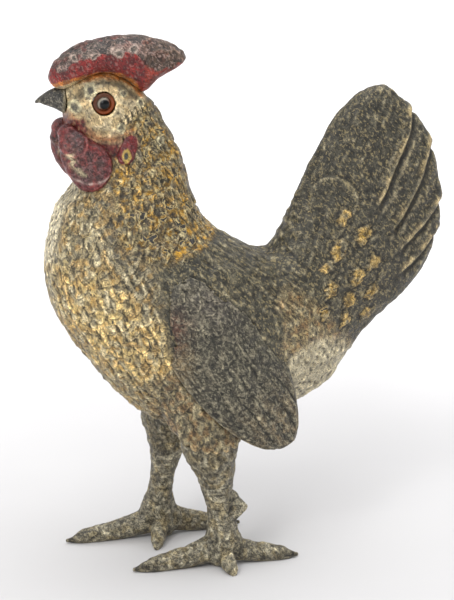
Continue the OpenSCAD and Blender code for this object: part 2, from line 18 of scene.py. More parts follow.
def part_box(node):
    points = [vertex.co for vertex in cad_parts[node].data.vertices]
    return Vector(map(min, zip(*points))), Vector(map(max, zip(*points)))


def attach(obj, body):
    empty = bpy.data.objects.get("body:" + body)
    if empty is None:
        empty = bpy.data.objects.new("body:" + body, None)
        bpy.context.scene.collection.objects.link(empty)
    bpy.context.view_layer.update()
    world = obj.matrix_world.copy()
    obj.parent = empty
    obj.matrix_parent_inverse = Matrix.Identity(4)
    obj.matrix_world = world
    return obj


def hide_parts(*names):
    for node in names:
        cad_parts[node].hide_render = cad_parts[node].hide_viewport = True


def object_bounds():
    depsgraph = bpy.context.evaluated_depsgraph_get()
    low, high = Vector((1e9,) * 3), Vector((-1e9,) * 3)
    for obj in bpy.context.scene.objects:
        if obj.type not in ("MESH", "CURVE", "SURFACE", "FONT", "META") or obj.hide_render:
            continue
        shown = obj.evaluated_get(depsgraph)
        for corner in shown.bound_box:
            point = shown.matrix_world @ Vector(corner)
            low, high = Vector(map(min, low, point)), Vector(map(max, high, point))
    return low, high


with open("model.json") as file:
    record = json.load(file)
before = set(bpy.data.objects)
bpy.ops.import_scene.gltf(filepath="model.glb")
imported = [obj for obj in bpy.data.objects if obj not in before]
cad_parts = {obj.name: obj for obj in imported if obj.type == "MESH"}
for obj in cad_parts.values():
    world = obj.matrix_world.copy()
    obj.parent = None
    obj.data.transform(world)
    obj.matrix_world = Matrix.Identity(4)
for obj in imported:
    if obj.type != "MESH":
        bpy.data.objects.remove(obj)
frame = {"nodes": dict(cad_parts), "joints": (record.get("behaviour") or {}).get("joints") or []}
cad_bounds = [list(corner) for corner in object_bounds()]

MM = 1000.0
SIDES = {"left": -1, "right": 1}
HIP = [v * MM for j in frame["joints"] if j["name"] == "left_leg_swing" for v in j["pos_m"]]
# Radius about the hip at which the trousers on the shells end
TROUSER_END = 22.6


def add_object(name, data):
    """A new object in the scene's own collection."""
    obj = bpy.data.objects.new(name, data)
    bpy.context.scene.collection.objects.link(obj)
    return obj


def box_of(node):
    """The low and high corners of a CAD node, in millimetres."""
    return [np.array(corner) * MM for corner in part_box(node)]


# ---- Numbers and noise ----


def ramp(low, high, value):
    """0 below low, 1 above high and a smooth rise between."""
    t = np.clip((value - low) / (high - low), 0, 1)
    return t * t * (3 - 2 * t)


def bell(value, width):
    """1 at zero, falling smoothly to nearly nothing at twice the width."""
    return np.exp(-((value / width) ** 2))


def noise(points, size, seed):
    """Smooth lumps from -1 to 1, about size across, at each point."""
    scaled = points / size
    cell = np.floor(scaled).astype(np.int64)
    part = scaled - cell
    part = part * part * (3 - 2 * part)
    total = np.zeros(len(points))
    for corner in range(8):
        step = np.array([corner & 1, corner >> 1 & 1, corner >> 2])
        share = np.prod(np.where(step, part, 1 - part), axis=1)
        total += share * lattice_value(cell + step, seed)
    return total * 2 - 1


def lattice_value(cell, seed):
    """A repeatable value from 0 to 1 for each whole-number lattice point."""
    mixed = cell[:, 0] * 73856093 ^ cell[:, 1] * 19349663 ^ cell[:, 2] * 83492791 ^ seed * 2654435761
    mixed = mixed & 0xFFFFFFFF
    mixed = (mixed ^ mixed >> 15) * 2246822519 & 0xFFFFFFFF
    mixed = (mixed ^ mixed >> 13) * 3266489917 & 0xFFFFFFFF
    return (mixed ^ mixed >> 16) / 0xFFFFFFFF


def rough_cast(points, *scales):
    """The sum of several noises, each given as its height, its size and its seed."""
    return sum(height * noise(points, size, seed) for height, size, seed in scales)


def wandering(points, axis, seed, fine_seed):
    """One coordinate of each point, shifted so that the edge of a painted area wanders."""
    return points[:, axis] + rough_cast(points, (1.6, 4.5, seed), (0.7, 1.6, fine_seed))


def combed(points, along, length, width, seed):
    """Noise drawn out along a direction in the side view, as combed feather barbs are."""
    a = np.array(along) / np.linalg.norm(along)
    turned = np.column_stack([
        (points[:, 0] * a[0] + points[:, 2] * a[1]) / length,
        (points[:, 2] * a[0] - points[:, 0] * a[1]) / width,
        np.abs(points[:, 1]) / width])
    return noise(turned, 1.0, seed)


def overlapping(s, t, length, width, pointed=0.0):
    """Height from 0 to 1 of overlapping feathers: s runs towards their tips and t across them."""
    row = np.floor(s / length)
    reach = 1.9

    def feather(k):
        shift = (k % 2) * width / 2
        centre = (np.floor((t + shift) / width) + 0.5) * width - shift
        u = np.clip(np.abs(t - centre) / (width / 2), 0, 1)
        tip = 0.5 + 0.5 * ((1 - pointed) * np.sqrt(1 - u * u) + pointed * (1 - u))
        return (s - k * length) / (length * reach), tip

    upper, tip = feather(row - 1)
    lower, _ = feather(row)
    return np.where(upper < tip, upper / tip, lower)


def smooth_line(points):
    """A Catmull-Rom curve through points in the side view."""
    steps = 8
    p = [np.array(q, float) for q in points]
    p = [2 * p[0] - p[1]] + p + [2 * p[-1] - p[-2]]
    out = []
    for a, b, c, d in zip(p, p[1:], p[2:], p[3:]):
        for k in range(steps):
            u = k / steps
            out.append(b + 0.5 * u * (c - a + u * (2 * a - 5 * b + 4 * c - d + u * (3 * (b - c) + d - a))))
    return np.array(out + [p[-2]])


def from_line(x, z, line):
    """Signed distance from the curve through some points, positive on the left, and share along it."""
    line = smooth_line(line)
    best = np.full(len(x), 1e9)
    sign = np.ones(len(x))
    where = np.zeros(len(x))
    last = len(line) - 1
    for k in range(last):
        a, b = line[k], line[k + 1]
        d = b - a
        u = np.clip(((x - a[0]) * d[0] + (z - a[1]) * d[1]) / (d @ d), 0, 1)
        dx = x - a[0] - d[0] * u
        dz = z - a[1] - d[1] * u
        gap = np.hypot(dx, dz)
        near = gap < best
        best = np.where(near, gap, best)
        sign = np.where(near, np.sign(d[0] * dz - d[1] * dx), sign)
        where = np.where(near, (k + u) / last, where)
    return best * sign, where


def inside(x, z, outline, soft):
    """1 inside an outline in the side view and 0 outside, blended over soft millimetres."""
    crossed = np.zeros(len(x), bool)
    gap = np.full(len(x), 1e9)
    for a, b in zip(outline, outline[1:] + outline[:1]):
        dx, dz = b[0] - a[0], b[1] - a[1]
        u = np.clip(((x - a[0]) * dx + (z - a[1]) * dz) / (dx * dx + dz * dz), 0, 1)
        gap = np.minimum(gap, np.hypot(x - a[0] - dx * u, z - a[1] - dz * u))
        if dz:
            over = (a[1] > z) != (b[1] > z)
            crossed ^= over & (x < dx * (z - a[1]) / dz + a[0])
    return ramp(-soft, soft, np.where(crossed, gap, -gap))


# ---- Skins: evenly divided copies of CAD solids ----

# Convex edges that turn by more than this are kept crisp
SHARP = math.radians(50)
# Points this near the plane of symmetry belong to the seam, and each half laps over it by this much
SEAM_NEAR = 0.05
SEAM_LAP = 0.3
# The studio light is bright enough to whiten the floor, so paints are mixed darker than they look
UNDER_LIGHT = 0.6


def linear(colour):
    """A colour of three 0 to 255 values as linear light."""
    c = np.array(colour, float) / 255
    return np.where(c < 0.04045, c / 12.92, ((c + 0.055) / 1.055) ** 2.4)


def seen_as(colour):
    """The paint that looks like this colour, of three 0 to 255 values, under the studio light."""
    return linear(colour) * UNDER_LIGHT


def close_seam(source):
    """Runs each half a little past the plane of symmetry, so that the two join in one skin."""
    for v in source.verts:
        if abs(v.co.y) < SEAM_NEAR / MM:
            v.co.y = -math.copysign(SEAM_LAP / MM, v.co.y)


def store_paint(mesh, colour, marks):
    """Writes the two paint layers into a mesh and shades it smooth."""
    for name, values in (("paint", colour), ("marks", marks)):
        layer = mesh.color_attributes.new(name, "FLOAT_COLOR", "POINT")
        full = np.column_stack([np.clip(values, 0, 1), np.ones(len(values))])
        layer.data.foreach_set("color", full.astype(np.float32).ravel())
    shade_smooth(mesh)


def shade_smooth(mesh):
    mesh.polygons.foreach_set("use_smooth", np.ones(len(mesh.polygons), bool))


def sharp_edges(source, seam):
    """A search tree of points along the convex sharp edges, or None if there are none."""
    spacing = 0.4
    found = []
    for e in source.edges:
        if len(e.link_faces) != 2 or not e.is_convex or e.calc_face_angle() < SHARP:
            continue
        a, b = (np.array(v.co) * MM for v in e.verts)
        if seam and max(abs(a[1]), abs(b[1])) < SEAM_LAP + 0.1:
            continue
        pieces = int(np.linalg.norm(b - a) / spacing) + 1
        found += [a + (b - a) * k / pieces for k in range(pieces + 1)]
    tree = KDTree(len(found))
    for k, point in enumerate(found):
        tree.insert(point, k)
    tree.balance()
    return tree if found else None


def read_all(items, attribute, width, kind):
    """One attribute of every item in a mesh's list, as the rows of an array."""
    out = np.empty(len(items) * width, kind)
    items.foreach_get(attribute, out)
    return out.reshape(-1, width)


class Skin:
    """A fine mesh of one or more CAD solids whose points are moved and painted in bulk."""

    def __init__(self, name, nodes, voxel, seam=False):
        source = bmesh.new()
        for node in nodes:
            source.from_mesh(frame["nodes"][node].data)
        bmesh.ops.remove_doubles(source, verts=source.verts, dist=0.002 / MM)
        if seam:
            close_seam(source)
        self.tree = BVHTree.FromBMesh(source)
        sharp = sharp_edges(source, seam)
        mesh = bpy.data.meshes.new(name)
        source.to_mesh(mesh)
        source.free()
        self.obj = add_object(name, mesh)
        grid = self.obj.modifiers.new("grid", "REMESH")
        grid.mode = "VOXEL"
        grid.voxel_size = voxel / MM
        graph = bpy.context.evaluated_depsgraph_get()
        fine = bpy.data.meshes.new_from_object(self.obj.evaluated_get(graph))
        self.obj.modifiers.clear()
        self.obj.data = fine
        bpy.data.meshes.remove(mesh)
        fine.name = name
        self.p = read_all(fine.vertices, "co", 3, np.float32).astype(float) * MM
        self.edges = read_all(fine.edges, "vertices", 2, np.int32)
        self.quads = read_all(fine.loops, "vertex_index", 1, np.int32).reshape(-1, 4)
        self.count = np.bincount(self.edges.ravel(), minlength=len(self.p))
        self.hold = np.ones(len(self.p))
        if sharp is not None:
            # How freely each point moves: 0 on a sharp edge and 1 away from it
            gap = np.array([sharp.find(q)[2] for q in self.p])
            self.hold = ramp(0.3, 1.4, gap)

    def around(self, values):
        """The mean of each point's neighbours."""
        a, b = self.edges[:, 0], self.edges[:, 1]
        n = len(self.p)
        out = [np.bincount(a, values[b, k], n) + np.bincount(b, values[a, k], n)
               for k in range(values.shape[1])]
        return np.column_stack(out) / np.maximum(self.count, 1)[:, None]

    def smooth(self, rounds):
        """Fairs the surface, then gives back the width that fairing takes away."""
        start = self.p.copy()
        share = self.hold[:, None] * 0.5
        for _ in range(rounds):
            self.p += (self.around(self.p) - self.p) * share
        lost = start - self.p
        for _ in range(rounds):
            lost += (self.around(lost) - lost) * share
        self.p += lost

    def normals(self):
        q = self.p[self.quads]
        face = np.cross(q[:, 2] - q[:, 0], q[:, 3] - q[:, 1])
        n = len(self.p)
        out = np.column_stack([
            sum(np.bincount(self.quads[:, c], face[:, k], n) for c in range(4)) for k in range(3)])
        return out / np.maximum(np.linalg.norm(out, axis=1), 1e-12)[:, None]

    def outward(self, normals):
        """1 for points that can be seen from outside, 0 for those inside the hollow."""
        seen = np.zeros(len(self.p))
        up = np.array([0.0, 0.0, 1.0])
        for k, (point, n) in enumerate(zip(self.p, normals)):
            start = Vector((point + n) / MM)
            side = Vector((0, -1 if point[1] < 0 else 1, 0))
            if self.tree.ray_cast(start, side)[0] is None:
                seen[k] = 1
                continue
            ways = (n, n + up * 0.8, n - up * 0.8)
            clear = sum(self.tree.ray_cast(start, Vector(w))[0] is None for w in ways)
            seen[k] = clear > 1
        for _ in range(3):
            seen += (self.around(seen[:, None])[:, 0] - seen) * 0.5
        return seen

    def hollows(self, rounds):
        """How hollow the surface is at each point, below zero on its bumps."""
        n = self.normals()
        flat = self.p.copy()
        for _ in range(rounds):
            flat = self.around(flat)
        return ((flat - self.p) * n).sum(1)

    def emboss(self, height, normals):
        """Raises each point by its height in millimetres, less towards the sharp edges."""
        self.p = self.p + normals * (height * self.hold)[:, None]

    def write(self, paint):
        """Puts the points and the two paint layers into the mesh."""
        mesh = self.obj.data
        mesh.vertices.foreach_set("co", (self.p / MM).astype(np.float32).ravel())
        store_paint(mesh, paint.colour, paint.marks)
        mesh.update()
        return self.obj


class Paint:
    """Colour and wear at each point: layers go on one over another."""

    def __init__(self, points, colour, grit, fleck, chips):
        self.points = points
        self.colour = np.tile(seen_as(colour), (len(points), 1))
        self.marks = np.tile(np.array([grit, fleck, chips], float), (len(points), 1))

    def lay(self, share, colour=None, grit=None, fleck=None, chips=None):
        """Blends a colour, and any of the three wear marks, over a share of each point."""
        if colour is not None:
            self.colour += (seen_as(colour) - self.colour) * share[:, None]
        for k, value in enumerate((grit, fleck, chips)):
            if value is not None:
                self.marks[:, k] += (value - self.marks[:, k]) * share


def cast_skin(part, voxel, rounds, side=None):
    """The fair skin of one CAD node, with its points and their normals."""
    lead = f"{side}_" if side else ""
    skin = Skin(f"{lead}painted_{part}", [f"{lead}{part}"], voxel)
    skin.smooth(rounds)
    return skin, skin.p, skin.normals()


def grime_wear_and_cavity_light(skin, paint, grime_and_shade, worn, strength=1.0):
    """Grime and painted shade settle in the hollows of a skin; its bumps are rubbed lighter, with painted
    highlight.
    """
    # Hollows get grime and painted shade; bumps get rubbed wear and painted highlight
    for rounds, deep in ((1, 0.035), (4, 0.11)):
        hollow = skin.hollows(rounds) / deep
        paint.lay(0.7 * strength * ramp(0.15, 1.0, hollow), grime_and_shade)
        # The bumps go lighter than the paint itself: rubbed wear and painted highlight
        rubbed = 0.4 * seen_as(worn) + 1.15 * paint.colour
        share = 0.7 * strength * ramp(0.25, 1.2, -hollow)
        paint.colour += (rubbed - paint.colour) * share[:, None]


def mottle(paint, share, size, seed, *colours):
    """Daubs of several colours over a share of each point, each daub about size across."""
    for k, colour in enumerate(colours):
        paint.lay(share * ramp(0.1, 0.32, noise(paint.points, size, seed + k)), colour)


def spot(x, z, place, half_x, half_z):
    """1 at a place in the side view, fading over an oval of these half widths."""
    return bell(np.hypot((x - place[0]) / half_x, (z - place[1]) / half_z), 1.0)


def flake(paint, x, z, place, radius, rim=(232, 220, 176), core=(96, 92, 82)):
    """A flake lost from the paint: a pale broken rim round bared dark metal."""
    gap = np.hypot(x - place[0], z - place[1]) + 0.35 * noise(paint.points, 1.1, 131)
    paint.lay(ramp(radius + 0.2, radius - 0.1, gap), rim, 0.4, 0.4, 0.0)
    paint.lay(ramp(0.55 * radius + 0.15, 0.55 * radius - 0.15, gap), core, 0.5, 0.2, 0.0)


def finish_piece(obj, body, material, node):
    """Gives a piece its material, and puts it on its body in place of a CAD node."""
    obj.data.materials.clear()
    obj.data.materials.append(material)
    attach(obj, body)
    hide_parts(node)


# ---- Materials ----

# How far the brush strokes slope down towards the tail, and how much longer they are than wide
FEATHER_LIE = math.radians(53)
STROKE = 1.7


class Shader:
    """A material and short calls that add and join its nodes."""

    def __init__(self, name):
        self.material = bpy.data.materials.new(name)
        self.material.use_nodes = True
        self.tree = self.material.node_tree
        self.tree.nodes.clear()
        self.place = self.node("ShaderNodeTexCoord").outputs["Object"]

    def node(self, kind, values=(), **settings):
        """Adds a node with its settings, and with its sockets' values by name or number."""
        made = self.tree.nodes.new(kind)
        for key, value in settings.items():
            setattr(made, key, value)
        for key, value in dict(values).items():
            self.plug(made.inputs[key], value)
        return made

    def plug(self, socket, value):
        """Joins another socket to this one, or sets its value."""
        if isinstance(value, bpy.types.NodeSocket):
            self.tree.links.new(value, socket)
        elif socket.type == "RGBA" and len(value) == 3:
            socket.default_value = (*[float(v) for v in value], 1.0)
        else:
            socket.default_value = value

    def lumps(self, size, detail=2.0, rough=0.5, twist=0.0, at=None):
        """Noise with lumps about size millimetres across."""
        made = self.node("ShaderNodeTexNoise", {
            "Vector": at or self.place, "Scale": MM / size, "Detail": detail, "Roughness": rough,
            "Distortion": twist})
        return made.outputs["Fac"]

    def moved(self, offset, stretch=(1, 1, 1)):
        """The place shifted by offset millimetres, so that two noises don't coincide."""
        made = self.node("ShaderNodeMapping", {
            "Vector": self.place, "Location": [v / MM for v in offset], "Scale": stretch})
        return made.outputs["Vector"]

    def brushed(self, offset):
        """The place shifted by offset millimetres, drawn out along the lie of the feathers."""
        made = self.node("ShaderNodeMapping", {
            "Vector": self.place, "Location": [v / MM for v in offset],
            "Rotation": (0.0, FEATHER_LIE, 0.0), "Scale": (STROKE, 1.0, 1.0)}, vector_type="TEXTURE")
        return made.outputs["Vector"]

    def plus(self, a, b):
        return self.node("ShaderNodeMath", {0: a, 1: b}, operation="ADD").outputs[0]

    def minus(self, a, b):
        return self.node("ShaderNodeMath", {0: a, 1: b}, operation="SUBTRACT").outputs[0]

    def times(self, a, b):
        return self.node("ShaderNodeMath", {0: a, 1: b}, operation="MULTIPLY").outputs[0]

    def step(self, value, low, high, start=0.0, end=1.0):
        """Goes smoothly from start to end as a value goes from low to high."""
        values = dict(enumerate((value, low, high, start, end)))
        return self.node("ShaderNodeMapRange", values, interpolation_type="SMOOTHSTEP").outputs[0]

    def mix(self, share, a, b):
        """A blend of two colours, which are the node's sockets 6 and 7."""
        return self.node("ShaderNodeMix", {"Factor": share, 6: a, 7: b}, data_type="RGBA").outputs[2]

    def scaled(self, colour, share):
        """A colour made lighter or darker by a share."""
        return self.node("ShaderNodeVectorMath", {0: colour, 3: share}, operation="SCALE").outputs[0]

    def layer(self, name):
        """The colour of one of the skin's paint layers."""
        return self.node("ShaderNodeAttribute", attribute_name=name).outputs["Color"]

    def close(self, colour, rough, metal=0.0, height=None, deep=0.1, shine=0.5):
        """The surface itself; height is raised by deep millimetres as a bump."""
        skin = self.node("ShaderNodeBsdfPrincipled", {
            "Base Color": colour, "Roughness": rough, "Metallic": metal, "Specular IOR Level": shine})
        if height is not None:
            bump = self.node("ShaderNodeBump", {"Strength": 1.0, "Distance": deep / MM, "Height": height})
            self.plug(skin.inputs["Normal"], bump.outputs["Normal"])
        self.node("ShaderNodeOutputMaterial", {"Surface": skin.outputs[0]})
        return self.material


def cold_paint(name, rim, bare, gloss=0.4):
    """Old paint on cast metal: speckled, rubbed light on its grain and chipped in rimmed rings."""
    s = Shader(name)
    paint = s.layer("paint")
    grit, fleck, chips = s.node("ShaderNodeSeparateColor", {0: s.layer("marks")}).outputs
    fine = s.lumps(0.5, 2.0, 0.6, 0.4, s.brushed((0, 0, 0)))
    coarse = s.lumps(1.25, 3.0, 0.7, 0.8, s.brushed((0, 0, 0)))
    light = s.lumps(0.62, 2.0, 0.6, 0.6, s.brushed((31, 17, 53)))
    patch = s.lumps(3.6, 3.0, 0.6, 0.0, s.moved((71, 13, 7)))
    ring = s.lumps(2.3, 2.0, 0.45, 0.9, s.moved((5, 91, 29)))
    both = s.plus(s.times(fine, 0.5), s.times(coarse, 0.5))
    # Every grain is a little darker or lighter than the paint round it
    low = s.minus(1.0, s.times(grit, 0.8))
    high = s.plus(1.0, s.times(fleck, 1.3))
    swing = s.step(both, 0.41, 0.59, low, high)
    shade = s.step(patch, 0.36, 0.64, 0.78, 1.25)
    toned = s.scaled(paint, s.times(swing, shade))
    # Dark pits between the grains, and grains rubbed through to the pale coat
    pits = s.step(s.plus(fine, s.times(grit, 0.07)), 0.59, 0.64)
    spotted = s.mix(s.times(pits, 0.85), toned, s.scaled(paint, 0.14))
    rubbed = s.times(s.step(light, 0.56, 0.61), fleck)
    worn = s.mix(rubbed, spotted, s.mix(0.75, toned, seen_as(rim)))
    # Chips: bared metal inside a pale broken rim
    edge = s.minus(0.86, s.times(chips, 0.3))
    over = s.minus(ring, edge)
    rimmed = s.times(s.step(over, -0.05, -0.03), s.step(over, 0.0, 0.015, 1.0, 0.0))
    bared = s.step(over, 0.0, 0.015)
    metal = seen_as(bare)
    bare_tone = s.mix(s.step(fine, 0.42, 0.6), metal, metal * 2.4)
    colour = s.mix(bared, s.mix(rimmed, worn, seen_as(rim)), bare_tone)
    rough = s.step(coarse, 0.35, 0.65, gloss - 0.1, gloss + 0.16)
    height = s.plus(s.times(rimmed, 0.3), s.times(both, 1.6))
    height = s.minus(height, s.times(s.plus(pits, bared), 0.4))
    return s.close(colour, rough, s.times(bared, 0.4), height, 0.3)


def worked_metal(name, colour, tarnish, rough, brush, age):
    """Cut and handled metal: tool lines along the axis where brush is least, tarnish and pits."""
    s = Shader(name)
    cloud = s.lumps(3.2, 4.0, 0.6, 0.4)
    lines = s.lumps(0.5, 3.0, 0.6, 0.0, s.moved((3, 1, 2), brush))
    pits = s.step(s.lumps(0.7, 2.0, 0.6, 0.3, s.moved((9, 4, 6))), 0.62, 0.7)
    old = s.times(s.step(cloud, 0.38, 0.66), age)
    base = s.mix(old, linear(colour), linear(tarnish))
    tone = s.mix(s.times(pits, 0.6), base, [v * 0.35 for v in linear(tarnish)])
    shine = s.plus(s.step(lines, 0.3, 0.7, rough - 0.08, rough + 0.1), s.times(old, 0.25))
    height = s.minus(s.times(lines, 0.4), s.times(pits, 0.6))
    return s.close(tone, shine, 1.0, height, 0.05)


# ---- The body shells ----

BODY_GRID = 0.46
# Half of the gap between the two painted shells
SEAM_HALF = 0.03

# Curves on the tail, from the trailing edge down to where each feather goes under the next
SICKLES = [
    [(47, 124.7), (45.9, 118.5), (41.7, 109.9), (38.7, 102.9), (36.4, 99.3)],
    [(54.6, 117.6), (52.2, 113), (49.9, 106.4), (47, 101.1), (43.4, 95.2), (39.6, 90.8)],
    [(58, 101), (54.6, 97.2), (51, 93.2), (47.2, 89.8), (42.5, 85.8)],
    [(56.4, 91), (53, 87.6), (48.2, 82.8), (42.3, 78.4)]]
# The lip of the rounded feather over the root of the tail
COVERT = [(17.6, 101), (18.6, 105), (22, 107.4), (26, 107), (29.4, 104.6), (30.4, 101), (28.4, 96.6),
          (25, 92)]
# Teardrops embossed at the root of the tail: place, size and angle of the long axis
TEARDROPS = [
    (24.6, 87.6, 2.5, 60), (32.1, 91.5, 2.3, 62), (34.9, 83.4, 1.9, 50), (20.9, 83.4, 1.7, 20),
    (29.9, 79.8, 2.2, 65), (21.7, 77.0, 2.0, 60), (27.4, 73.4, 2.0, 60), (34.6, 74.8, 1.9, 45),
    (19.6, 71.3, 1.7, 70), (26.4, 67.8, 1.7, 60), (33.2, 68.4, 1.7, 50), (26.4, 96.6, 1.9, 60)]


def body_relief(p):
    """Height of the cast feathers over the plain shell, in millimetres."""
    x, y, z = p[:, 0], np.abs(p[:, 1]), p[:, 2]
    height = rough_cast(p, (0.2, 5.0, 3), (0.2, 2.0, 4), (0.12, 1.1, 5))
    # Hackle feathers fan out from a point over the head
    fan = np.hypot(x + 44, z - 160)
    turn = np.arctan2(x + 44, 160 - z) * 62
    hackle = inside(x, z, HACKLE, 1.5)
    wavy = 0.8 * noise(p, 4.0, 7)
    height += hackle * (0.75 * overlapping(fan + wavy, turn + 3 * np.sin(y / 3), 6.0, 3.6, 0.7) - 0.35)
    breast = inside(x, z, BREAST, 2.0) * (1 - hackle)
    round_front = 25 * np.arctan2(y, -(x + 26))
    wander = wavy + 1.2 * noise(p, 7.0, 8)
    downward = -0.94 * z + 0.34 * x
    height += breast * (0.4 * overlapping(downward + wander, round_front + wander, 3.7, 4.6) - 0.2)
    height += breast * 0.36 * combed(p, (0.42, -0.91), 3.6, 1.0, 9)
    back = ramp(-22, -12, x) * (1 - ramp(12, 20, x)) * ramp(60, 70, z) * (1 - hackle)
    height += back * 0.38 * combed(p, (0.75, -0.66), 5.0, 1.3, 11)
    thigh = inside(x, z, TROUSER, 2.0)
    height += thigh * 0.4 * combed(p, (0.22, -0.97), 6.0, 1.4, 13)
    fluff = inside(x, z, FLUFF, 2.0)
    height += fluff * 0.22 * combed(p, (0.6, -0.8), 2.6, 1.2, 17)
    return height + tail_relief(x, z, p) * ramp(12, 17, x)


def tail_relief(x, z, p):
    """Combed barbs, stepped sickle feathers, the covert's lip and the teardrops of the tail."""
    height = 0.16 * combed(p, (0.45, 0.89), 7.0, 1.1, 19)
    for points in SICKLES:
        gap, along = from_line(x, z, points)
        ends = ramp(1.0, 0.82, along)
        worn = np.where(gap < 0, bell(gap, 2.2), bell(gap, 0.45))
        step = np.where(gap > 0, bell(gap - 1.1, 1.0), 0)
        height += ends * (0.62 * worn - 0.85 * step)
    gap, along = from_line(x, z, COVERT)
    lip = np.where(gap < 0, bell(gap, 1.8), bell(gap, 0.4))
    height += 0.28 * lip * bell(along - 0.5, 0.5) - 0.2 * bell(gap - 0.9, 0.7)
    for cx, cz, size, angle in TEARDROPS:
        face, groove = teardrop(x, z, cx, cz, size, angle)
        height += 0.7 * face - 0.12 * groove
    return height


def teardrop(x, z, cx, cz, size, angle):
    """How much a point belongs to one teardrop, and to the groove round it."""
    a = math.radians(angle)
    x = x + 0.35 * np.sin(z * 2.1 + cx) + 0.25 * np.sin(z * 4.7 + cz)
    z = z + 0.35 * np.sin(x * 1.9 + cz)
    u = ((x - cx) * math.cos(a) + (z - cz) * math.sin(a)) / (size * 1.35)
    v = (-(x - cx) * math.sin(a) + (z - cz) * math.cos(a)) / (size * (0.86 + 0.2 * np.clip(u, -1, 1)))
    r = np.hypot(u, v)
    return np.sqrt(np.clip(1 - r * r, 0, 1)), bell(r - 1.2, 0.22)


# Outlines in the side view of the painted and feathered areas
HACKLE = [(-36, 127.5), (-37.2, 121), (-38.6, 113), (-39.6, 107), (-40.4, 101), (-38, 95), (-31.5, 91),
          (-24, 90), (-16, 92.5), (-9, 96), (-10, 104), (-17, 118), (-24, 130), (-31, 133)]
BREAST = [(-60, 112), (-47, 113), (-40, 110), (-41, 100), (-38, 93), (-30.5, 89.5), (-30, 76), (-27, 66),
          (-23, 56), (-20, 46), (-30, 34), (-62, 60)]
GREY_BREAST = [(-44.5, 108), (-39, 108), (-40, 100), (-37, 93), (-29, 89.5), (-29, 76), (-34, 78), (-41, 92)]
OCHRE_BREAST = [(-55, 88), (-44, 88), (-36, 80), (-30, 76), (-25, 62), (-30, 52), (-43, 60), (-53, 74)]
TROUSER = [(-31, 56), (-24, 62), (-8, 60), (-4, 50), (-6, 32), (-26, 30)]
FLUFF = [(8, 62), (16, 64), (25, 62), (31, 57), (25, 45), (10, 38), (4, 44)]
FLANK = [(6, 78), (13, 78), (20, 70), (28, 60), (16, 56), (6, 62)]
TAIL = [(12, 92), (20, 86), (33, 62), (40, 62), (64, 80), (64, 130), (44, 138), (26, 128), (12, 104)]
FACE = [(-54, 122), (-54, 140), (-46, 143), (-32, 142.5), (-27, 136), (-30, 130), (-35.5, 126),
        (-36.5, 119.6), (-44, 119.2)]
# Curves on the face: the brow, the foot of the comb and the top of the red cheek
BROW = [(-47, 133.8), (-44.5, 136), (-41, 137.2), (-37, 136.8), (-33.5, 134.8), (-30, 131)]
COMB_LINE = [(-52, 136.4), (-49, 137.4), (-45.2, 138.3), (-40.8, 139.0), (-35.4, 138), (-31.5, 135.6),
             (-29.4, 133)]
CHEEK_LINE = [(-51, 129.2), (-48.5, 127.6), (-46, 125.4), (-43.2, 123.3), (-40, 122.6), (-37, 123),
              (-33.4, 124.6)]
# Flakes lost from the face and the top of the neck: place and radius
FACE_FLAKES = [((-44.1, 135.6), 1.7), ((-48.3, 131.3), 1.6), ((-36.5, 125.7), 1.3), ((-25.4, 121.2), 1.2),
               ((-30.5, 131.5), 1.1), ((-35, 134.4), 0.9)]


def body_paint(p):
    """Colour zones of the body, with edges broken up as a brush and wear leave them."""
    y = np.abs(p[:, 1])
    x = wandering(p, 0, 23, 29)
    z = wandering(p, 2, 31, 37)
    paint = Paint(p, (90, 87, 71), 0.85, 0.5, 0.16)
    mottle(paint, 0.7, 1.7, 151, (60, 57, 46), (132, 125, 102))
    breast = inside(x, z, BREAST, 1.6)
    paint.lay(breast, (200, 184, 144), 0.72, 0.6, 0.42)
    ochre = inside(x, z, OCHRE_BREAST, 2.4)
    paint.lay(ochre, (255, 220, 142), 0.58, 0.8, 0.5)
    grey = inside(x, z, GREY_BREAST, 1.8)
    paint.lay(grey, (142, 133, 108), 0.75, 0.5, 0.35)
    mottle(paint, 0.75 * breast, 1.6, 155, (104, 96, 78), (226, 212, 172), (204, 160, 80))
    front = ramp(9, 3, y) * ramp(-44, -50, x) * ramp(84, 90, z)
    paint.lay(front * 0.95, (250, 238, 206), 0.3, 0.55, 0.25)
    thigh = inside(x, z, TROUSER, 2.2)
    paint.lay(thigh, (140, 128, 100), 0.85, 0.6, 0.3)
    flank = inside(x, z, FLANK, 2.2)
    paint.lay(flank, (166, 144, 102), 0.85, 0.7, 0.5)
    mottle(paint, 0.7 * np.maximum(thigh, flank), 1.5, 161, (92, 82, 62), (204, 190, 150), (170, 128, 76))
    paint.lay(inside(x, z, FLUFF, 1.8), (228, 215, 180), 0.45, 0.45, 0.3)
    tail = inside(x, z, TAIL, 3.0)
    paint.lay(tail * 0.7, (84, 81, 68), 0.85, 0.5, 0.12)
    hackle = inside(x, z, HACKLE, 1.0)
    paint.lay(hackle, (184, 142, 56), 0.9, 0.45, 0.72)
    mottle(paint, 0.85 * hackle, 1.8, 165, (96, 82, 56), (122, 114, 98))
    paint.lay(0.95 * hackle * ramp(-0.2, 0.05, noise(p, 2.3, 167)), (238, 178, 40))
    mottle(paint, 0.8 * hackle, 1.1, 168, (228, 212, 160), (66, 60, 54))
    nape = ramp(6.5, 2.5, y) * ramp(96, 102, z) * ramp(-30, -26, x) * (1 - ramp(2, 10, x))
    paint.lay(nape * 0.8, (96, 84, 60), 0.8, 0.4, 0.3)
    paint_tail(paint, p)
    paint_head(paint, p, x, z)
    return paint


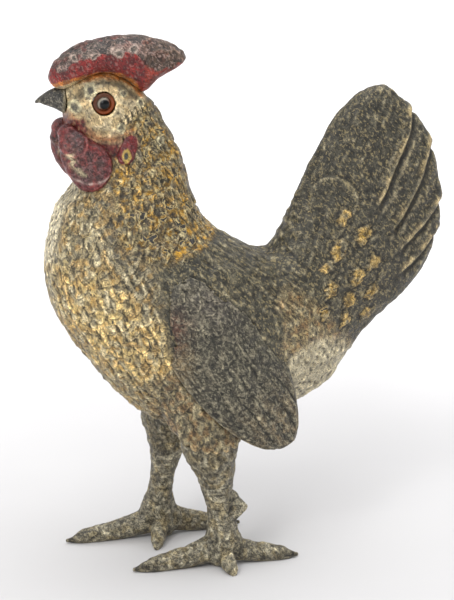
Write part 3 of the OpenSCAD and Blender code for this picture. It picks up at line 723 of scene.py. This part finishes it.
def paint_tail(paint, p):
    """Rubbed lips on the sickle feathers with painted shade in the steps under them, and gold teardrops with
    painted shade in their grooves.
    """
    x, z = p[:, 0], p[:, 2]
    on_tail = ramp(12, 17, x)
    for points in SICKLES:
        gap, along = from_line(x, z, points)
        lip = bell(gap + 0.5, 0.9) * ramp(1.0, 0.8, along) * on_tail
        paint.lay(lip * ramp(-0.35, 0.25, noise(p, 1.8, 41)), (182, 160, 114), 0.5, 0.8, 0.3)
        # Painted shade: near-black in the step under each feather's edge
        paint.lay(0.85 * bell(gap - 1.1, 1.0) * on_tail, (42, 40, 34), 0.5, 0.05, 0.0)
    gap, _ = from_line(x, z, COVERT)
    paint.lay(0.4 * bell(gap + 0.3, 0.7) * on_tail * ramp(-0.3, 0.3, noise(p, 1.8, 42)), (168, 158, 126))
    for cx, cz, size, angle in TEARDROPS:
        face, groove = teardrop(x, z, cx, cz, size, angle)
        broken = ramp(-0.42, 0.05, noise(p, 1.5, 43) + 0.2 * noise(p, 0.9, 44))
        paint.lay(ramp(0.2, 0.6, face) * broken, (190, 150, 58), 0.9, 0.5, 0.6)
        # Painted shade, faint, in the groove round each teardrop
        paint.lay(0.15 * groove * broken, (62, 58, 47), 0.5, 0.1, 0.0)


def paint_head(paint, p, x, z):
    """The cream face with its brow, the orange line under the comb, and the red cheek and jaw."""
    here = ramp(117.5, 119.5, p[:, 2])
    face = inside(x, z, FACE, 1.0) * here
    paint.lay(face, (222, 194, 144), 0.45, 0.5, 0.25)
    mottle(paint, 0.5 * face, 1.5, 171, (168, 142, 98), (232, 218, 182))
    sharp_x = p[:, 0] + 0.35 * noise(p, 1.3, 43)
    sharp_z = p[:, 2] + 0.35 * noise(p, 1.3, 47)
    gap, _ = from_line(sharp_x, sharp_z, BROW)
    paint.lay(0.85 * bell(gap, 0.8) * here, (84, 72, 48), 0.5, 0.1, 0.0)
    gap, _ = from_line(sharp_x, sharp_z, COMB_LINE)
    paint.lay(ramp(-1.3, -0.3, gap) * ramp(-28, -31, x) * here, (204, 124, 52), 0.5, 0.5, 0.3)
    gap, _ = from_line(sharp_x, sharp_z, CHEEK_LINE)
    cheek = ramp(-47.5, -46, x) * ramp(-31, -33.5, x)
    paint.lay(0.8 * bell(gap, 1.2) * here * ramp(-31, -33.5, x), (184, 106, 54), 0.4, 0.3, 0.1)
    paint.lay(ramp(-0.8, -1.6, gap) * ramp(-5.5, -4.0, gap) * cheek, (134, 32, 32), 0.5, 0.3, 0.15)
    jaw = ramp(-45.5, -47, x) * ramp(128.6, 127.6, sharp_z) * ramp(117, 119, sharp_z)
    paint.lay(jaw, (132, 40, 34), 0.5, 0.3, 0.1)
    for place, radius in FACE_FLAKES:
        flake(paint, p[:, 0], p[:, 2], place, radius)


def half_of(skin, sign):
    """One half of the joined body, cut along the seam and closed there."""
    made = bmesh.new()
    made.from_mesh(skin.data)
    everything = made.verts[:] + made.edges[:] + made.faces[:]
    bmesh.ops.bisect_plane(made, geom=everything, plane_co=(0, sign * SEAM_HALF / MM, 0),
                           plane_no=(0, -sign, 0), clear_outer=True)
    rim = [e for e in made.edges if e.is_boundary]
    bmesh.ops.triangle_fill(made, use_beauty=True, use_dissolve=False, edges=rim)
    bmesh.ops.recalc_face_normals(made, faces=made.faces)
    mesh = skin.data.copy()
    made.to_mesh(mesh)
    made.free()
    shade_smooth(mesh)
    return mesh


def hang_feathers(p):
    """Lets feather tips hang from the end of each trouser, outside the top of the leg."""
    dx, dz = p[:, 0] - HIP[0], p[:, 2] - HIP[2]
    r = np.hypot(dx, dz)
    low = ramp(TROUSER_END - 3.0, TROUSER_END - 0.6, r) * ramp(46, 42, p[:, 2])
    outer = ramp(15.0, 18.5, np.abs(p[:, 1]))
    tips = 1 - (np.abs(((p[:, 0] + 0.25 * p[:, 2]) / 2.7) % 1 - 0.5) * 2) ** 2
    drop = low * outer * (0.5 + 1.3 * tips)
    flare = np.sign(p[:, 1]) * 0.4 * low * outer
    return p + np.column_stack([dx / r * drop, flare, dz / r * drop])


def make_body(material):
    skin = Skin("body_skin", ["left_shell", "right_shell"], BODY_GRID, seam=True)
    skin.smooth(45)
    n = skin.normals()
    seen = skin.outward(n)
    # Near the seam the relief rises along the plane of symmetry, so that both halves still meet
    n[:, 1] *= ramp(0.2, 1.2, np.abs(skin.p[:, 1]))
    skin.emboss(body_relief(skin.p) * seen, n)
    skin.p = hang_feathers(skin.p)
    paint = body_paint(skin.p)
    # Grime and painted shade in the hollows, rubbed wear and painted highlight on the bumps
    grime_wear_and_cavity_light(skin, paint, (64, 58, 44), (206, 190, 150))
    whole = skin.write(paint)
    for side, sign in SIDES.items():
        half = add_object(f"{side}_painted_shell", half_of(whole, sign))
        finish_piece(half, "body", material, f"{side}_shell")
    joined = whole.data
    bpy.data.objects.remove(whole)
    bpy.data.meshes.remove(joined)


# ---- Head pieces ----

# Curves on the side of the comb: where the red paint starts above, and where it ends below
COMB_TOP = [(-55, 140.6), (-50, 141.2), (-46, 143.6), (-41.6, 144.6), (-37, 143.6), (-34, 144.8),
            (-30.6, 143.2), (-28.8, 140.6), (-24.8, 139.9), (-20, 140.8), (-15, 142)]
COMB_FOOT = [(-55, 136.6), (-50.5, 138.2), (-44.5, 139.6), (-38.8, 140.1), (-34.3, 139.1), (-31, 137),
             (-29.4, 134)]
# Flakes lost along the top of the red: place and radius
COMB_FLAKES = [((-41.9, 144.4), 1.1), ((-36.6, 145.2), 1.7), ((-47.6, 143.6), 1.2), ((-31.5, 145.6), 1.3)]


def make_comb(material):
    skin, p, n = cast_skin("comb", 0.33, 25)
    line_x = p[:, 0] + 0.7 * noise(p, 1.8, 59)
    line_z = p[:, 2] + 0.9 * noise(p, 1.8, 60)
    bare = ramp(-0.25, 0.25, from_line(line_x, line_z, COMB_TOP)[0])
    rough = rough_cast(p, (0.2, 1.6, 51), (0.16, 0.9, 53))
    skin.emboss(0.12 * (1 - bare) + rough * (0.3 + 0.9 * bare), n)
    paint = Paint(p, (158, 38, 34), 0.6, 0.3, 0.16)
    front = spot(p[:, 0], p[:, 2], (-50, 141), 4, 3)
    top = spot(p[:, 0], p[:, 2], (-34, 146), 6, 2.4)
    paint.lay(bare, (104, 92, 82), 0.9, 0.6, 0.35)
    mottle(paint, 0.8 * bare, 1.6, 177, (60, 50, 46), (160, 140, 126), (120, 50, 42))
    pale = bare * ramp(0.05, 0.35, noise(p, 2.6, 63) * 0.6 + top + 0.5 * front - 0.45)
    paint.lay(0.6 * pale, (186, 152, 138), 0.8, 0.7, 0.8)
    paint.lay(0.6 * bare * ramp(-30, -25, p[:, 0]), (80, 78, 70), 0.95, 0.7, 0.3)
    mottle(paint, 0.6 * (1 - bare), 1.5, 181, (104, 28, 28), (184, 50, 40))
    for place, radius in COMB_FLAKES:
        flake(paint, line_x, line_z, place, radius, (206, 182, 166), (112, 104, 92))
    foot_x = p[:, 0] + 0.25 * noise(p, 1.2, 64)
    foot_z = p[:, 2] + 0.25 * noise(p, 1.2, 66)
    foot = from_line(foot_x, foot_z, COMB_FOOT)[0] * ramp(-29, -31, p[:, 0])
    paint.lay(ramp(0.1, -0.4, foot), (204, 124, 52), 0.5, 0.5, 0.3)
    paint.lay(ramp(-0.9, -1.5, foot), (206, 184, 138), 0.5, 0.5, 0.3)
    # Grime and painted shade in the hollows, rubbed wear and painted highlight on the bumps
    grime_wear_and_cavity_light(skin, paint, (50, 26, 24), (170, 124, 106), 0.6)
    finish_piece(skin.write(paint), "body", material, "comb")


# A pale cream streak down the front edge of the wattle
WATTLE_PALE_STREAK = [(-50.4, 119.4), (-49.8, 117.2), (-48.2, 114.8), (-46.2, 113.2)]


def make_wattle(side, material):
    skin, p, n = cast_skin("wattle", 0.27, 16, side)
    # Two dished lobes, each with a thick rim
    lobes = ((-49.2, 122.2, 3.5, 3.6), (-45.4, 115.6, 5.4, 5.8))
    height = 0.07 * noise(p, 1.2, 65)
    grey = np.zeros(len(p))
    for cx, cz, rx, rz in lobes:
        r = np.hypot((p[:, 0] - cx) / rx, (p[:, 2] - cz) / rz)
        height += 0.5 * bell(r - 0.98, 0.14) - 0.35 * ramp(0.9, 0.4, r)
        grey = np.maximum(grey, ramp(0.86, 0.66, r))
    height += 0.14 * grey * noise(p, 0.9, 68)
    skin.emboss(height, n)
    paint = Paint(p, (124, 34, 34), 0.6, 0.35, 0.12)
    paint.lay(grey * 0.8, (108, 78, 72), 0.75, 0.5, 0.2)
    # Painted highlight: a pale line along the bottom edge of the lower lobe
    lip = bell(p[:, 2] - 111.4 - 0.08 * (p[:, 0] + 45) ** 2, 0.35)
    paint.lay(lip * 0.8, (224, 196, 184), 0.2, 0.3, 0.0)
    mottle(paint, 0.6, 1.3, 175, (84, 26, 28), (160, 66, 60))
    # A pale cream streak, broken up by noise, down the front edge
    gap, along = from_line(p[:, 0], p[:, 2], WATTLE_PALE_STREAK)
    rubbed = bell(gap, 1.1 - 0.6 * along) * ramp(-0.4, 0.1, noise(p, 1.2, 176))
    paint.lay(rubbed, (226, 208, 166), 0.4, 0.4, 0.0)
    # Grime and painted shade in the hollows, rubbed wear and painted highlight on the bumps
    grime_wear_and_cavity_light(skin, paint, (44, 20, 22), (190, 130, 120), 0.7)
    finish_piece(skin.write(paint), "body", material, f"{side}_wattle")


def make_ear_lobe(side, material):
    skin, p, n = cast_skin("ear_lobe", 0.25, 10, side)
    skin.emboss(0.1 * noise(p, 1.0, 67), n)
    paint = Paint(p, (136, 34, 34), 0.55, 0.35, 0.15)
    low, high = box_of(f"{side}_ear_lobe")
    mid = (low + high) / 2
    # One oval chip, down to a yellow coat and then to the metal
    chip = np.hypot((p[:, 0] - mid[0] + 0.6) / 1.2, (p[:, 2] - mid[2] + 1.4) / 1.9)
    chip += 0.2 * noise(p, 0.9, 69)
    paint.lay(ramp(1.1, 0.9, chip), (226, 190, 96), 0.2, 0.4, 0.1)
    paint.lay(ramp(0.6, 0.45, chip), (92, 92, 84), 0.4, 0.2, 0.0)
    finish_piece(skin.write(paint), "body", material, f"{side}_ear_lobe")


def make_beak(material):
    skin, p, n = cast_skin("beak", 0.2, 8)
    low, high = box_of("beak")
    # The peg inside the face is 2 mm long; out runs from 0 at the face to 1 at the tip
    face_x = high[0] - 2
    out = np.clip((face_x - p[:, 0]) / (face_x - low[0]), 0, 1)
    mid_z = (low[2] + high[2]) / 2
    # A mouth line along each side, a ridge along the top and a tip that bends down
    mouth = bell(p[:, 2] - mid_z + 0.7, 0.35) * out * (1 - ramp(0.8, 1.0, out))
    ridge = bell(p[:, 1], 0.8) * ramp(mid_z, mid_z + 1, p[:, 2]) * out
    skin.p = p + n * (0.25 * ridge - 0.35 * mouth + 0.06 * noise(p, 0.9, 71))[:, None]
    skin.p[:, 2] += 0.6 * out * (1 - out) * 2 - 0.5 * out ** 3
    paint = Paint(p, (92, 88, 80), 0.9, 0.6, 0.35)
    root = ramp(0.16, 0.04, out)
    paint.lay(root * 0.5, (190, 170, 120), 0.5, 0.6, 0.5)
    finish_piece(skin.write(paint), "body", material, "beak")


# Width of the ring and radius of the pupil, as shares of the eye's radius
RING_SHARE = 0.2
PUPIL_SHARE = 0.42


def eye_profile(radius, root, top):
    """Half section of an eye, as (distance from its axis, height): socket, rolled ring and dome."""
    rim = top - 1.5
    ring = radius * RING_SHARE
    bowl = radius - 2 * ring
    profile = [(0.0, root), (radius, root), (radius, rim)]
    for k in range(9):
        a = math.pi * k / 8
        profile.append((radius - ring + ring * math.cos(a), rim + 0.9 * ring * math.sin(a)))
    for k in range(12):
        a = math.pi / 2 * k / 11
        profile.append((bowl * math.cos(a), rim + (top - rim) * math.sin(a)))
    return profile


def turned(name, profile, cx, cz, sign):
    """A mesh of a half section turned about a line along Y through cx and cz."""
    turns = 72
    made = bmesh.new()
    rows = []
    for r, y in profile:
        steps = turns if r > 1e-6 else 1
        angles = [2 * math.pi * k / turns for k in range(steps)]
        rows.append([made.verts.new(((cx + r * math.cos(a)) / MM, sign * y / MM,
                                     (cz + r * math.sin(a)) / MM)) for a in angles])
    for one, two in zip(rows, rows[1:]):
        for k in range(turns):
            corners = (one[k % len(one)], one[(k + 1) % len(one)],
                       two[(k + 1) % len(two)], two[k % len(two)])
            made.faces.new(list(dict.fromkeys(corners)))
    bmesh.ops.recalc_face_normals(made, faces=made.faces)
    mesh = bpy.data.meshes.new(name)
    made.to_mesh(mesh)
    made.free()
    return mesh


def make_eye(side, material):
    """A domed enamel eye in a rolled rust-coloured socket ring."""
    sign = SIDES[side]
    low, high = box_of(f"{side}_eye")
    cx, cz = (low[0] + high[0]) / 2, (low[2] + high[2]) / 2
    radius = (high[0] - low[0]) / 2
    root, top = sorted((sign * low[1], sign * high[1]))
    mesh = turned(f"{side}_enamel_eye", eye_profile(radius, root, top), cx, cz, sign)
    p = np.array([v.co for v in mesh.vertices]) * MM
    r = np.hypot(p[:, 0] - cx, p[:, 2] - cz)
    bowl = radius * (1 - 2 * RING_SHARE)
    pupil = radius * PUPIL_SHARE
    # Grows towards the lower back of the eye
    lean = ((p[:, 0] - cx) - (p[:, 2] - cz)) / radius
    paint = Paint(p, (104, 62, 40), 0.4, 0.2, 0.1)
    paint.lay(ramp(-0.5, 0.7, lean), (156, 78, 38), 0.3, 0.2, 0.0)
    in_bowl = ramp(bowl + 0.25, bowl, r)
    paint.lay(in_bowl, (122, 62, 34), 0.2, 0.2, 0.0)
    paint.lay(ramp(0.35, -0.5, lean) * in_bowl, (190, 182, 166), 0.2, 0.2, 0.0)
    paint.lay(ramp(pupil + 0.25, pupil, r), (4, 9, 14), 0.0, 0.0, 0.0)
    store_paint(mesh, paint.colour, paint.marks)
    finish_piece(add_object(mesh.name, mesh), "body", material, f"{side}_eye")


def enamel():
    """Glossy enamel, slightly crazed."""
    s = Shader("eye_enamel")
    paint = s.layer("paint")
    craze = s.step(s.lumps(0.5, 3.0, 0.6, 0.6), 0.55, 0.68)
    tone = s.mix(s.times(craze, 0.25), paint, (0.02, 0.015, 0.01))
    rough = s.step(s.lumps(1.0, 2.0), 0.3, 0.7, 0.08, 0.16)
    return s.close(tone, rough, 0.0, craze, 0.02, 0.25)


# ---- Wings ----

SHOULDER = (-26, 84)
# Direction from the shoulder to the tip of the wing
WING_WAY = (0.58, -0.81)


def make_wing(side, material):
    skin, p, n = cast_skin("wing", 0.36, 22, side)
    x, z = p[:, 0], p[:, 2]
    outer = ramp(-0.1, 0.3, n[:, 1] * SIDES[side])
    # s runs from the shoulder to the tip and t across the wing
    s = WING_WAY[0] * (x - SHOULDER[0]) + WING_WAY[1] * (z - SHOULDER[1])
    t = WING_WAY[0] * (z - SHOULDER[1]) - WING_WAY[1] * (x - SHOULDER[0])
    cover = ramp(26, 16, s + 1.5 * noise(p, 4.0, 73))
    height = rough_cast(p, (0.2, 4.0, 75), (0.2, 1.7, 77), (0.14, 0.95, 79))
    height += cover * (0.4 * overlapping(s + noise(p, 3.0, 81), t + noise(p, 3.0, 82), 4.4, 5.0) - 0.2)
    spread = t / (1 + 0.012 * (s - 20))
    quill = np.abs(((spread + 0.9 * noise(p, 5.0, 84)) / 3.3) % 1 - 0.5) * 2
    height += (1 - cover) * (0.5 * (1 - quill ** 3) - 0.3) * ramp(14, 34, s)
    height += (1 - cover) * 0.26 * combed(p, WING_WAY, 5.0, 0.9, 83)
    skin.emboss(height * outer, n)
    wx = wandering(p, 0, 85, 87)
    wz = wandering(p, 2, 89, 91)
    paint = Paint(p, (92, 88, 72), 0.9, 0.6, 0.16)
    mottle(paint, 0.75, 1.5, 185, (58, 54, 44), (142, 134, 111))
    mauve = spot(wx, wz, (-14, 80), 9, 7)
    paint.lay(mauve * 0.6, (132, 122, 112), 0.7, 0.5, 0.2)
    rust = spot(wx, wz, (-26.5, 72), 3.4, 6)
    paint.lay(rust * 0.9, (112, 62, 44), 0.7, 0.35, 0.25)
    fore = spot(wx, wz, (-25, 62), 4, 7)
    paint.lay(fore * 0.5, (168, 142, 96), 0.7, 0.6, 0.4)
    tip = ramp(34, 46, s) * ramp(0.75, 0.35, quill + 0.6 * noise(p, 1.6, 93))
    paint.lay(tip * 0.4, (150, 128, 92), 0.8, 0.6, 0.2)
    rim = ramp(46, 50, s) * ramp(0.0, 0.4, noise(p, 1.8, 94))
    paint.lay(rim * 0.5, (170, 144, 104), 0.6, 0.7, 0.2)
    # Grime and painted shade in the hollows, rubbed wear and painted highlight on the bumps
    grime_wear_and_cavity_light(skin, paint, (56, 52, 42), (190, 180, 150))
    finish_piece(skin.write(paint), "body", material, f"{side}_wing")


# ---- Legs ----


def draw_claw(p, end, way):
    """Draws the tip of the toe at one end of the foot out to a blunt claw."""
    reach = np.abs(p[:, 0] - end)
    tip = p[reach < 0.6].mean(0)
    near = ramp(2.6, 0.2, reach) * ramp(8, 6, p[:, 2])
    p[:, 0] += way * 0.9 * near
    p[:, 1] += (tip[1] - p[:, 1]) * 0.5 * near
    p[:, 2] += (1.0 - p[:, 2]) * 0.4 * near


def make_leg(side, material):
    skin, p, n = cast_skin("leg", 0.4, 14, side)
    x, z = p[:, 0], p[:, 2]
    low, high = box_of(f"{side}_leg")
    sole = ramp(1.4, 0.6, z)
    below = ramp(38, 35, z)
    height = rough_cast(p, (0.2, 3.2, 95), (0.22, 1.7, 97), (0.14, 1.0, 99))
    thigh = ramp(24, 30, z)
    height += thigh * 0.26 * combed(p, (0.2, -0.98), 5.0, 1.1, 101)
    # Rings of scales round the shank
    plates = np.abs((z + 0.4 * noise(p, 2.0, 103)) / 2.2 % 1 - 0.5) * 2
    shank = ramp(9, 12, z) * (1 - thigh)
    height += shank * 0.16 * (1 - plates ** 4)
    # The sole stays nearly flat, and the part inside the trouser keeps its shape
    skin.emboss(height * (1 - 0.9 * sole) * below, n)
    # The outer side of the top is slimmer, to leave room for the feather tips over it
    r = np.hypot(x - HIP[0], z - HIP[2])
    under = ramp(TROUSER_END + 5.0, TROUSER_END + 2.0, r) * ramp(TROUSER_END - 1.0, TROUSER_END, r)
    outer = ramp(15.0, 18.0, np.abs(p[:, 1]))
    skin.p[:, 1] -= np.sign(p[:, 1]) * 0.5 * under * outer
    for end, way in ((low[0], -1), (high[0], 1)):
        draw_claw(skin.p, end, way)
    paint = Paint(p, (164, 156, 134), 0.9, 0.75, 0.22)
    paint.lay(ramp(24, 33, z + 2 * noise(p, 3.0, 105)), (140, 129, 102), 0.9, 0.65, 0.3)
    mottle(paint, 0.75, 1.4, 189, (84, 78, 62), (198, 190, 164), (156, 138, 96))
    ends = np.maximum(ramp(low[0] + 9, low[0] + 3, x), ramp(high[0] - 9, high[0] - 3, x))
    paint.lay(ends * ramp(8, 6, z) * 0.9, (78, 73, 62), 0.8, 0.6, 0.3)
    # Grime and painted shade in the hollows, rubbed wear and painted highlight on the bumps
    grime_wear_and_cavity_light(skin, paint, (60, 54, 42), (206, 196, 164))
    finish_piece(skin.write(paint), f"{side}_leg", material, f"{side}_leg")


# ---- Metals of the motor and the key ----


def dress_motor():
    """Every motor part keeps its exact shape and takes a worked-metal finish."""
    brass = worked_metal("old_brass", (196, 160, 88), (110, 84, 44), 0.3, (1, 1, 1), 0.55)
    plate = worked_metal("plate_steel", (150, 150, 150), (92, 84, 76), 0.38, (0.15, 1, 1.6), 0.6)
    arbor = worked_metal("arbor_steel", (172, 174, 178), (110, 104, 98), 0.24, (1, 0.2, 1), 0.35)
    spring = worked_metal("spring_steel", (62, 70, 96), (44, 40, 42), 0.26, (1, 0.25, 1), 0.5)
    key = worked_metal("key_steel", (148, 144, 136), (96, 74, 54), 0.36, (1, 1, 1), 0.75)
    finish = {
        brass: ["plate_pillars", "left_mount_posts", "right_mount_posts", "hip_washers", "great_wheel",
                "second_wheel", "crank_wheel", "third_wheel", "fly_fan"],
        plate: ["left_plate", "right_plate"],
        arbor: ["pillar_screws", "hip_shaft", "spring_post", "winding_arbor", "ratchet_wheel", "click_post",
                "click", "second_arbor", "crank_arbor", "left_crank", "right_crank", "third_arbor",
                "fly_arbor"],
        spring: ["mainspring", "click_spring"],
        key: ["winding_key"]}
    for material, nodes in finish.items():
        for node in nodes:
            for slot in frame["nodes"][node].material_slots:
                slot.material = material


# ---- Floor, light and camera ----


def make_stage():
    """A wide sheet of pale paper just under the soles."""
    half = 60.0
    gap = 0.00002
    mesh = bpy.data.meshes.new("studio_floor")
    corners = [(-half, -half, 0), (half, -half, 0), (half, half, 0), (-half, half, 0)]
    mesh.from_pydata(corners, [], [(0, 1, 2, 3)])
    floor = add_object("studio_floor", mesh)
    floor.location.z = cad_bounds[0][2] - gap
    s = Shader("studio_floor")
    length = s.node("ShaderNodeVectorMath", {0: s.place}, operation="LENGTH")
    # Painted shadow: the paper is a little greyer round the middle, under the bird, and whiter from 0.4 m
    # outwards
    albedo_with_painted_shadow = s.step(length.outputs["Value"], 0.05, 0.4, 0.66, 0.98)
    tone = s.plus(albedo_with_painted_shadow, s.step(s.lumps(60.0, 2.0), 0.3, 0.7, -0.006, 0.006))
    paper = s.mix(tone, (0.0, 0.0, 0.0), (1.0, 0.99, 1.0))
    mesh.materials.append(s.close(paper, 0.95))


def make_lamp(name, place, target, size, power):
    """A round lamp of this size, pointed at a target."""
    lamp = bpy.data.lights.new(name, "AREA")
    lamp.shape = "DISK"
    lamp.size = size
    lamp.energy = power
    obj = add_object(name, lamp)
    obj.location = place
    aim(obj, Vector(target) - Vector(place))


def aim(obj, way):
    """Turns a lamp or a camera to look along a direction."""
    obj.rotation_euler = Vector(way).to_track_quat("-Z", "Y").to_euler()


def make_sun(name, travel, power, width):
    """Light as if from a broad patch of sky, travelling in one direction."""
    sun = bpy.data.lights.new(name, "SUN")
    sun.energy = power
    sun.angle = math.radians(width)
    aim(add_object(name, sun), travel)


def light_scene():
    """White surroundings, a broad light overhead, one from the front left and a small key."""
    world = bpy.data.worlds.new("studio")
    world.use_nodes = True
    tree = world.node_tree
    background = tree.nodes["Background"]
    background.inputs["Color"].default_value = (1.0, 1.0, 1.0, 1.0)
    # The surroundings look fully white and light the scene more softly
    path = tree.nodes.new("ShaderNodeLightPath")
    power = tree.nodes.new("ShaderNodeMapRange")
    tree.links.new(path.outputs["Is Camera Ray"], power.inputs["Value"])
    power.inputs["To Min"].default_value = 0.55
    power.inputs["To Max"].default_value = 1.0
    tree.links.new(power.outputs["Result"], background.inputs["Strength"])
    bpy.context.scene.world = world
    bpy.context.scene.view_settings.view_transform = "Standard"
    make_sun("overhead", (-0.22, -0.12, -1.0), 2.1, 80)
    make_sun("front_left", (0.4, 0.6, -0.8), 0.8, 35)
    make_lamp("key", (-0.5, -0.55, 0.6), (0.0, 0.0, 0.07), 0.16, 1.2)


def make_camera():
    """The camera looks at the middle of the bird's height from its left and a little ahead."""
    azimuth, elevation = math.radians(-15), math.radians(16)
    distance = 600.0
    target = np.array([-2.0, 0.0, 74.0])
    level = math.cos(elevation)
    back = np.array([math.sin(azimuth) * level, -math.cos(azimuth) * level, math.sin(elevation)])
    data = bpy.data.cameras.new("camera")
    data.sensor_width = 24.0
    data.lens = 86.0
    data.shift_x = -0.01833
    data.shift_y = -0.005
    data.clip_start = 0.01
    camera = add_object("camera", data)
    camera.location = (target + back * distance) / MM
    aim(camera, -back)
    bpy.context.scene.camera = camera


# ---- Build ----

body_finish = cold_paint("shell_paint", (236, 212, 150), (70, 68, 66))
comb_finish = cold_paint("comb_paint", (222, 190, 176), (88, 82, 78))
wattle_finish = cold_paint("wattle_paint", (206, 150, 150), (96, 80, 80), gloss=0.34)
wing_finish = cold_paint("wing_paint", (214, 204, 172), (64, 60, 54))
leg_finish = cold_paint("leg_metal", (214, 200, 160), (74, 72, 66), gloss=0.42)
horn_finish = cold_paint("beak_paint", (206, 196, 170), (58, 56, 54), gloss=0.38)
make_body(body_finish)
make_comb(comb_finish)
make_beak(horn_finish)
eye_finish = enamel()
for side in SIDES:
    make_eye(side, eye_finish)
    make_wattle(side, wattle_finish)
    make_ear_lobe(side, wattle_finish)
    make_wing(side, wing_finish)
    make_leg(side, leg_finish)
dress_motor()
make_stage()
light_scene()
make_camera()
